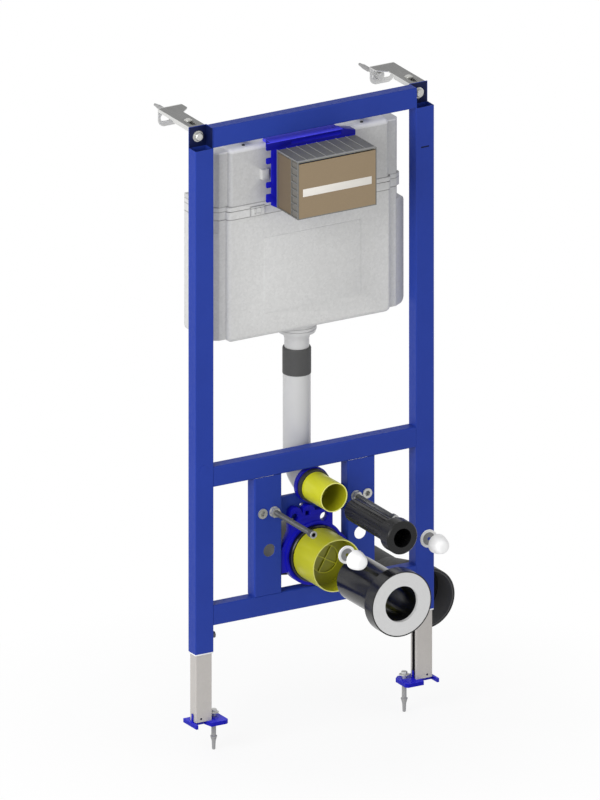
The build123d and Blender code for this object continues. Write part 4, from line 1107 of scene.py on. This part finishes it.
class TOILETFRAME_OT_stage(bpy.types.Operator):
    """Set the pale floor, the soft lights, the world and the camera"""

    bl_idname = "toiletframe.stage"
    bl_label = "Studio and camera"

    def execute(self, context):
        scene = context.scene
        self.floor()
        self.world(scene)
        self.lights(scene)
        self.camera(scene)
        scene.view_settings.view_transform = "Standard"
        return {"FINISHED"}

    def floor(self):
        """A pale floor under the plugs of the feet, white to the camera away from the shadow."""
        wide, shadow_near, shadow_far = 14, 0.2, 0.8
        plugs_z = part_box("foot_anchor_left")[0].z
        floor = start("plane", size=wide, location=(MIDDLE_X, FRONT_Y, plugs_z - 1 * MM))
        floor.name = "floor"
        edit(floor)
        bpy.ops.mesh.select_all(action="SELECT")
        bpy.ops.mesh.subdivide(number_cuts=3)
        leave()
        finish = Finish("floor_white", (0.9, 0.9, 0.9), 0.9)
        path = finish.node("ShaderNodeLightPath")
        seen = Wire(finish, path.outputs["Is Camera Ray"]) + Wire(finish, path.outputs["Is Glossy Ray"])
        away = finish.node("ShaderNodeVectorMath", {"operation": "DISTANCE"}, {
            0: finish.place, 1: (MIDDLE_X, FRONT_Y, plugs_z)})
        reach = finish.ramp(Wire(finish, away.outputs["Value"]), shadow_near, shadow_far, 0.86, 1.0)
        white = finish.node("ShaderNodeEmission", None, {"Color": (1, 1, 1, 1), "Strength": 1.0})
        mix = finish.node("ShaderNodeMixShader", None, {
            0: seen * reach, 1: finish.shader.outputs[0], 2: white.outputs[0]})
        output = finish.tree.nodes["Material Output"]
        finish.tree.links.new(mix.outputs[0], output.inputs["Surface"])
        floor.data.materials.append(finish.material)

    def world(self, scene):
        """White to the camera and in reflections, and an even soft light on the object."""
        scene.world = bpy.data.worlds.new("studio")
        scene.world.use_nodes = True
        sky = Nodes(scene.world.node_tree)
        sky.tree.nodes.clear()
        rays = sky.node("ShaderNodeLightPath").outputs
        shows = Wire(sky, rays["Is Camera Ray"]) + Wire(sky, rays["Is Glossy Ray"])
        shows = shows + Wire(sky, rays["Is Transmission Ray"])
        white = (1, 1, 1, 1)
        soft = sky.node("ShaderNodeBackground", None, {"Color": white, "Strength": 0.55})
        shown = sky.node("ShaderNodeBackground", None, {"Color": white, "Strength": 1.0})
        mix = sky.node("ShaderNodeMixShader", None, {0: shows, 1: soft.outputs[0], 2: shown.outputs[0]})
        sky.node("ShaderNodeOutputWorld", None, {"Surface": mix.outputs[0]})

    def lights(self, scene):
        """A broad key light from the left, and a weak fill from the front."""
        target, lamp_wide = at(0, 0, 600), 2.4
        for name, place, power in (
            ("key_light", at(-3100, -1300, 1960), 98),
            ("fill_light", at(900, -3200, 1200), 14),
        ):
            data = bpy.data.lights.new(name, "AREA")
            data.size = lamp_wide
            data.energy = power
            lamp = bpy.data.objects.new(name, data)
            scene.collection.objects.link(lamp)
            lamp.location = place
            lamp.rotation_euler = (target - place).to_track_quat("-Z", "Y").to_euler()

    def camera(self, scene):
        """A parallel view from the left front, a little above."""
        azimuth, elevation = radians(-30), radians(20)
        picture_height, pixels_per_metre = 800, 525
        aim, distance = at(-32.7, 0, 622.6), 6
        data = bpy.data.cameras.new("camera")
        data.type = "ORTHO"
        data.ortho_scale = picture_height / pixels_per_metre
        data.clip_end = 30
        camera = bpy.data.objects.new("camera", data)
        scene.collection.objects.link(camera)
        back = Vector((sin(azimuth) * cos(elevation), -cos(azimuth) * cos(elevation), sin(elevation)))
        camera.location = aim + back * distance
        camera.rotation_euler = (-back).to_track_quat("-Z", "Y").to_euler()
        scene.camera = camera


class TOILETFRAME_PT_panel(bpy.types.Panel):
    """The dressing steps, in order"""

    bl_idname = "TOILETFRAME_PT_panel"
    bl_label = "Toilet Frame"
    bl_space_type = "VIEW_3D"
    bl_region_type = "UI"
    bl_category = "Toilet Frame"

    def draw(self, context):
        for operator in OPERATORS:
            self.layout.operator(operator.bl_idname)


OPERATORS = (
    TOILETFRAME_OT_finishes,
    TOILETFRAME_OT_cistern,
    TOILETFRAME_OT_blue_mouldings,
    TOILETFRAME_OT_box,
    TOILETFRAME_OT_sleeves,
    TOILETFRAME_OT_washers,
    TOILETFRAME_OT_caps,
    TOILETFRAME_OT_flutes,
    TOILETFRAME_OT_leg_bushes,
    TOILETFRAME_OT_floor_bolts,
    TOILETFRAME_OT_small_fixings,
    TOILETFRAME_OT_stage,
)
CLASSES = (FrameColours, FrameSizes) + OPERATORS + (TOILETFRAME_PT_panel,)


def register():
    for cls in CLASSES:
        bpy.utils.register_class(cls)
    bpy.types.Scene.frame_colours = bpy.props.PointerProperty(type=FrameColours)
    bpy.types.Scene.frame_sizes = bpy.props.PointerProperty(type=FrameSizes)


def unregister():
    del bpy.types.Scene.frame_sizes
    del bpy.types.Scene.frame_colours
    for cls in reversed(CLASSES):
        bpy.utils.unregister_class(cls)


def main():
    register()
    for operator in OPERATORS:
        group, name = operator.bl_idname.split(".")
        getattr(getattr(bpy.ops, group), name)()


if __name__ == "__main__":
    main()
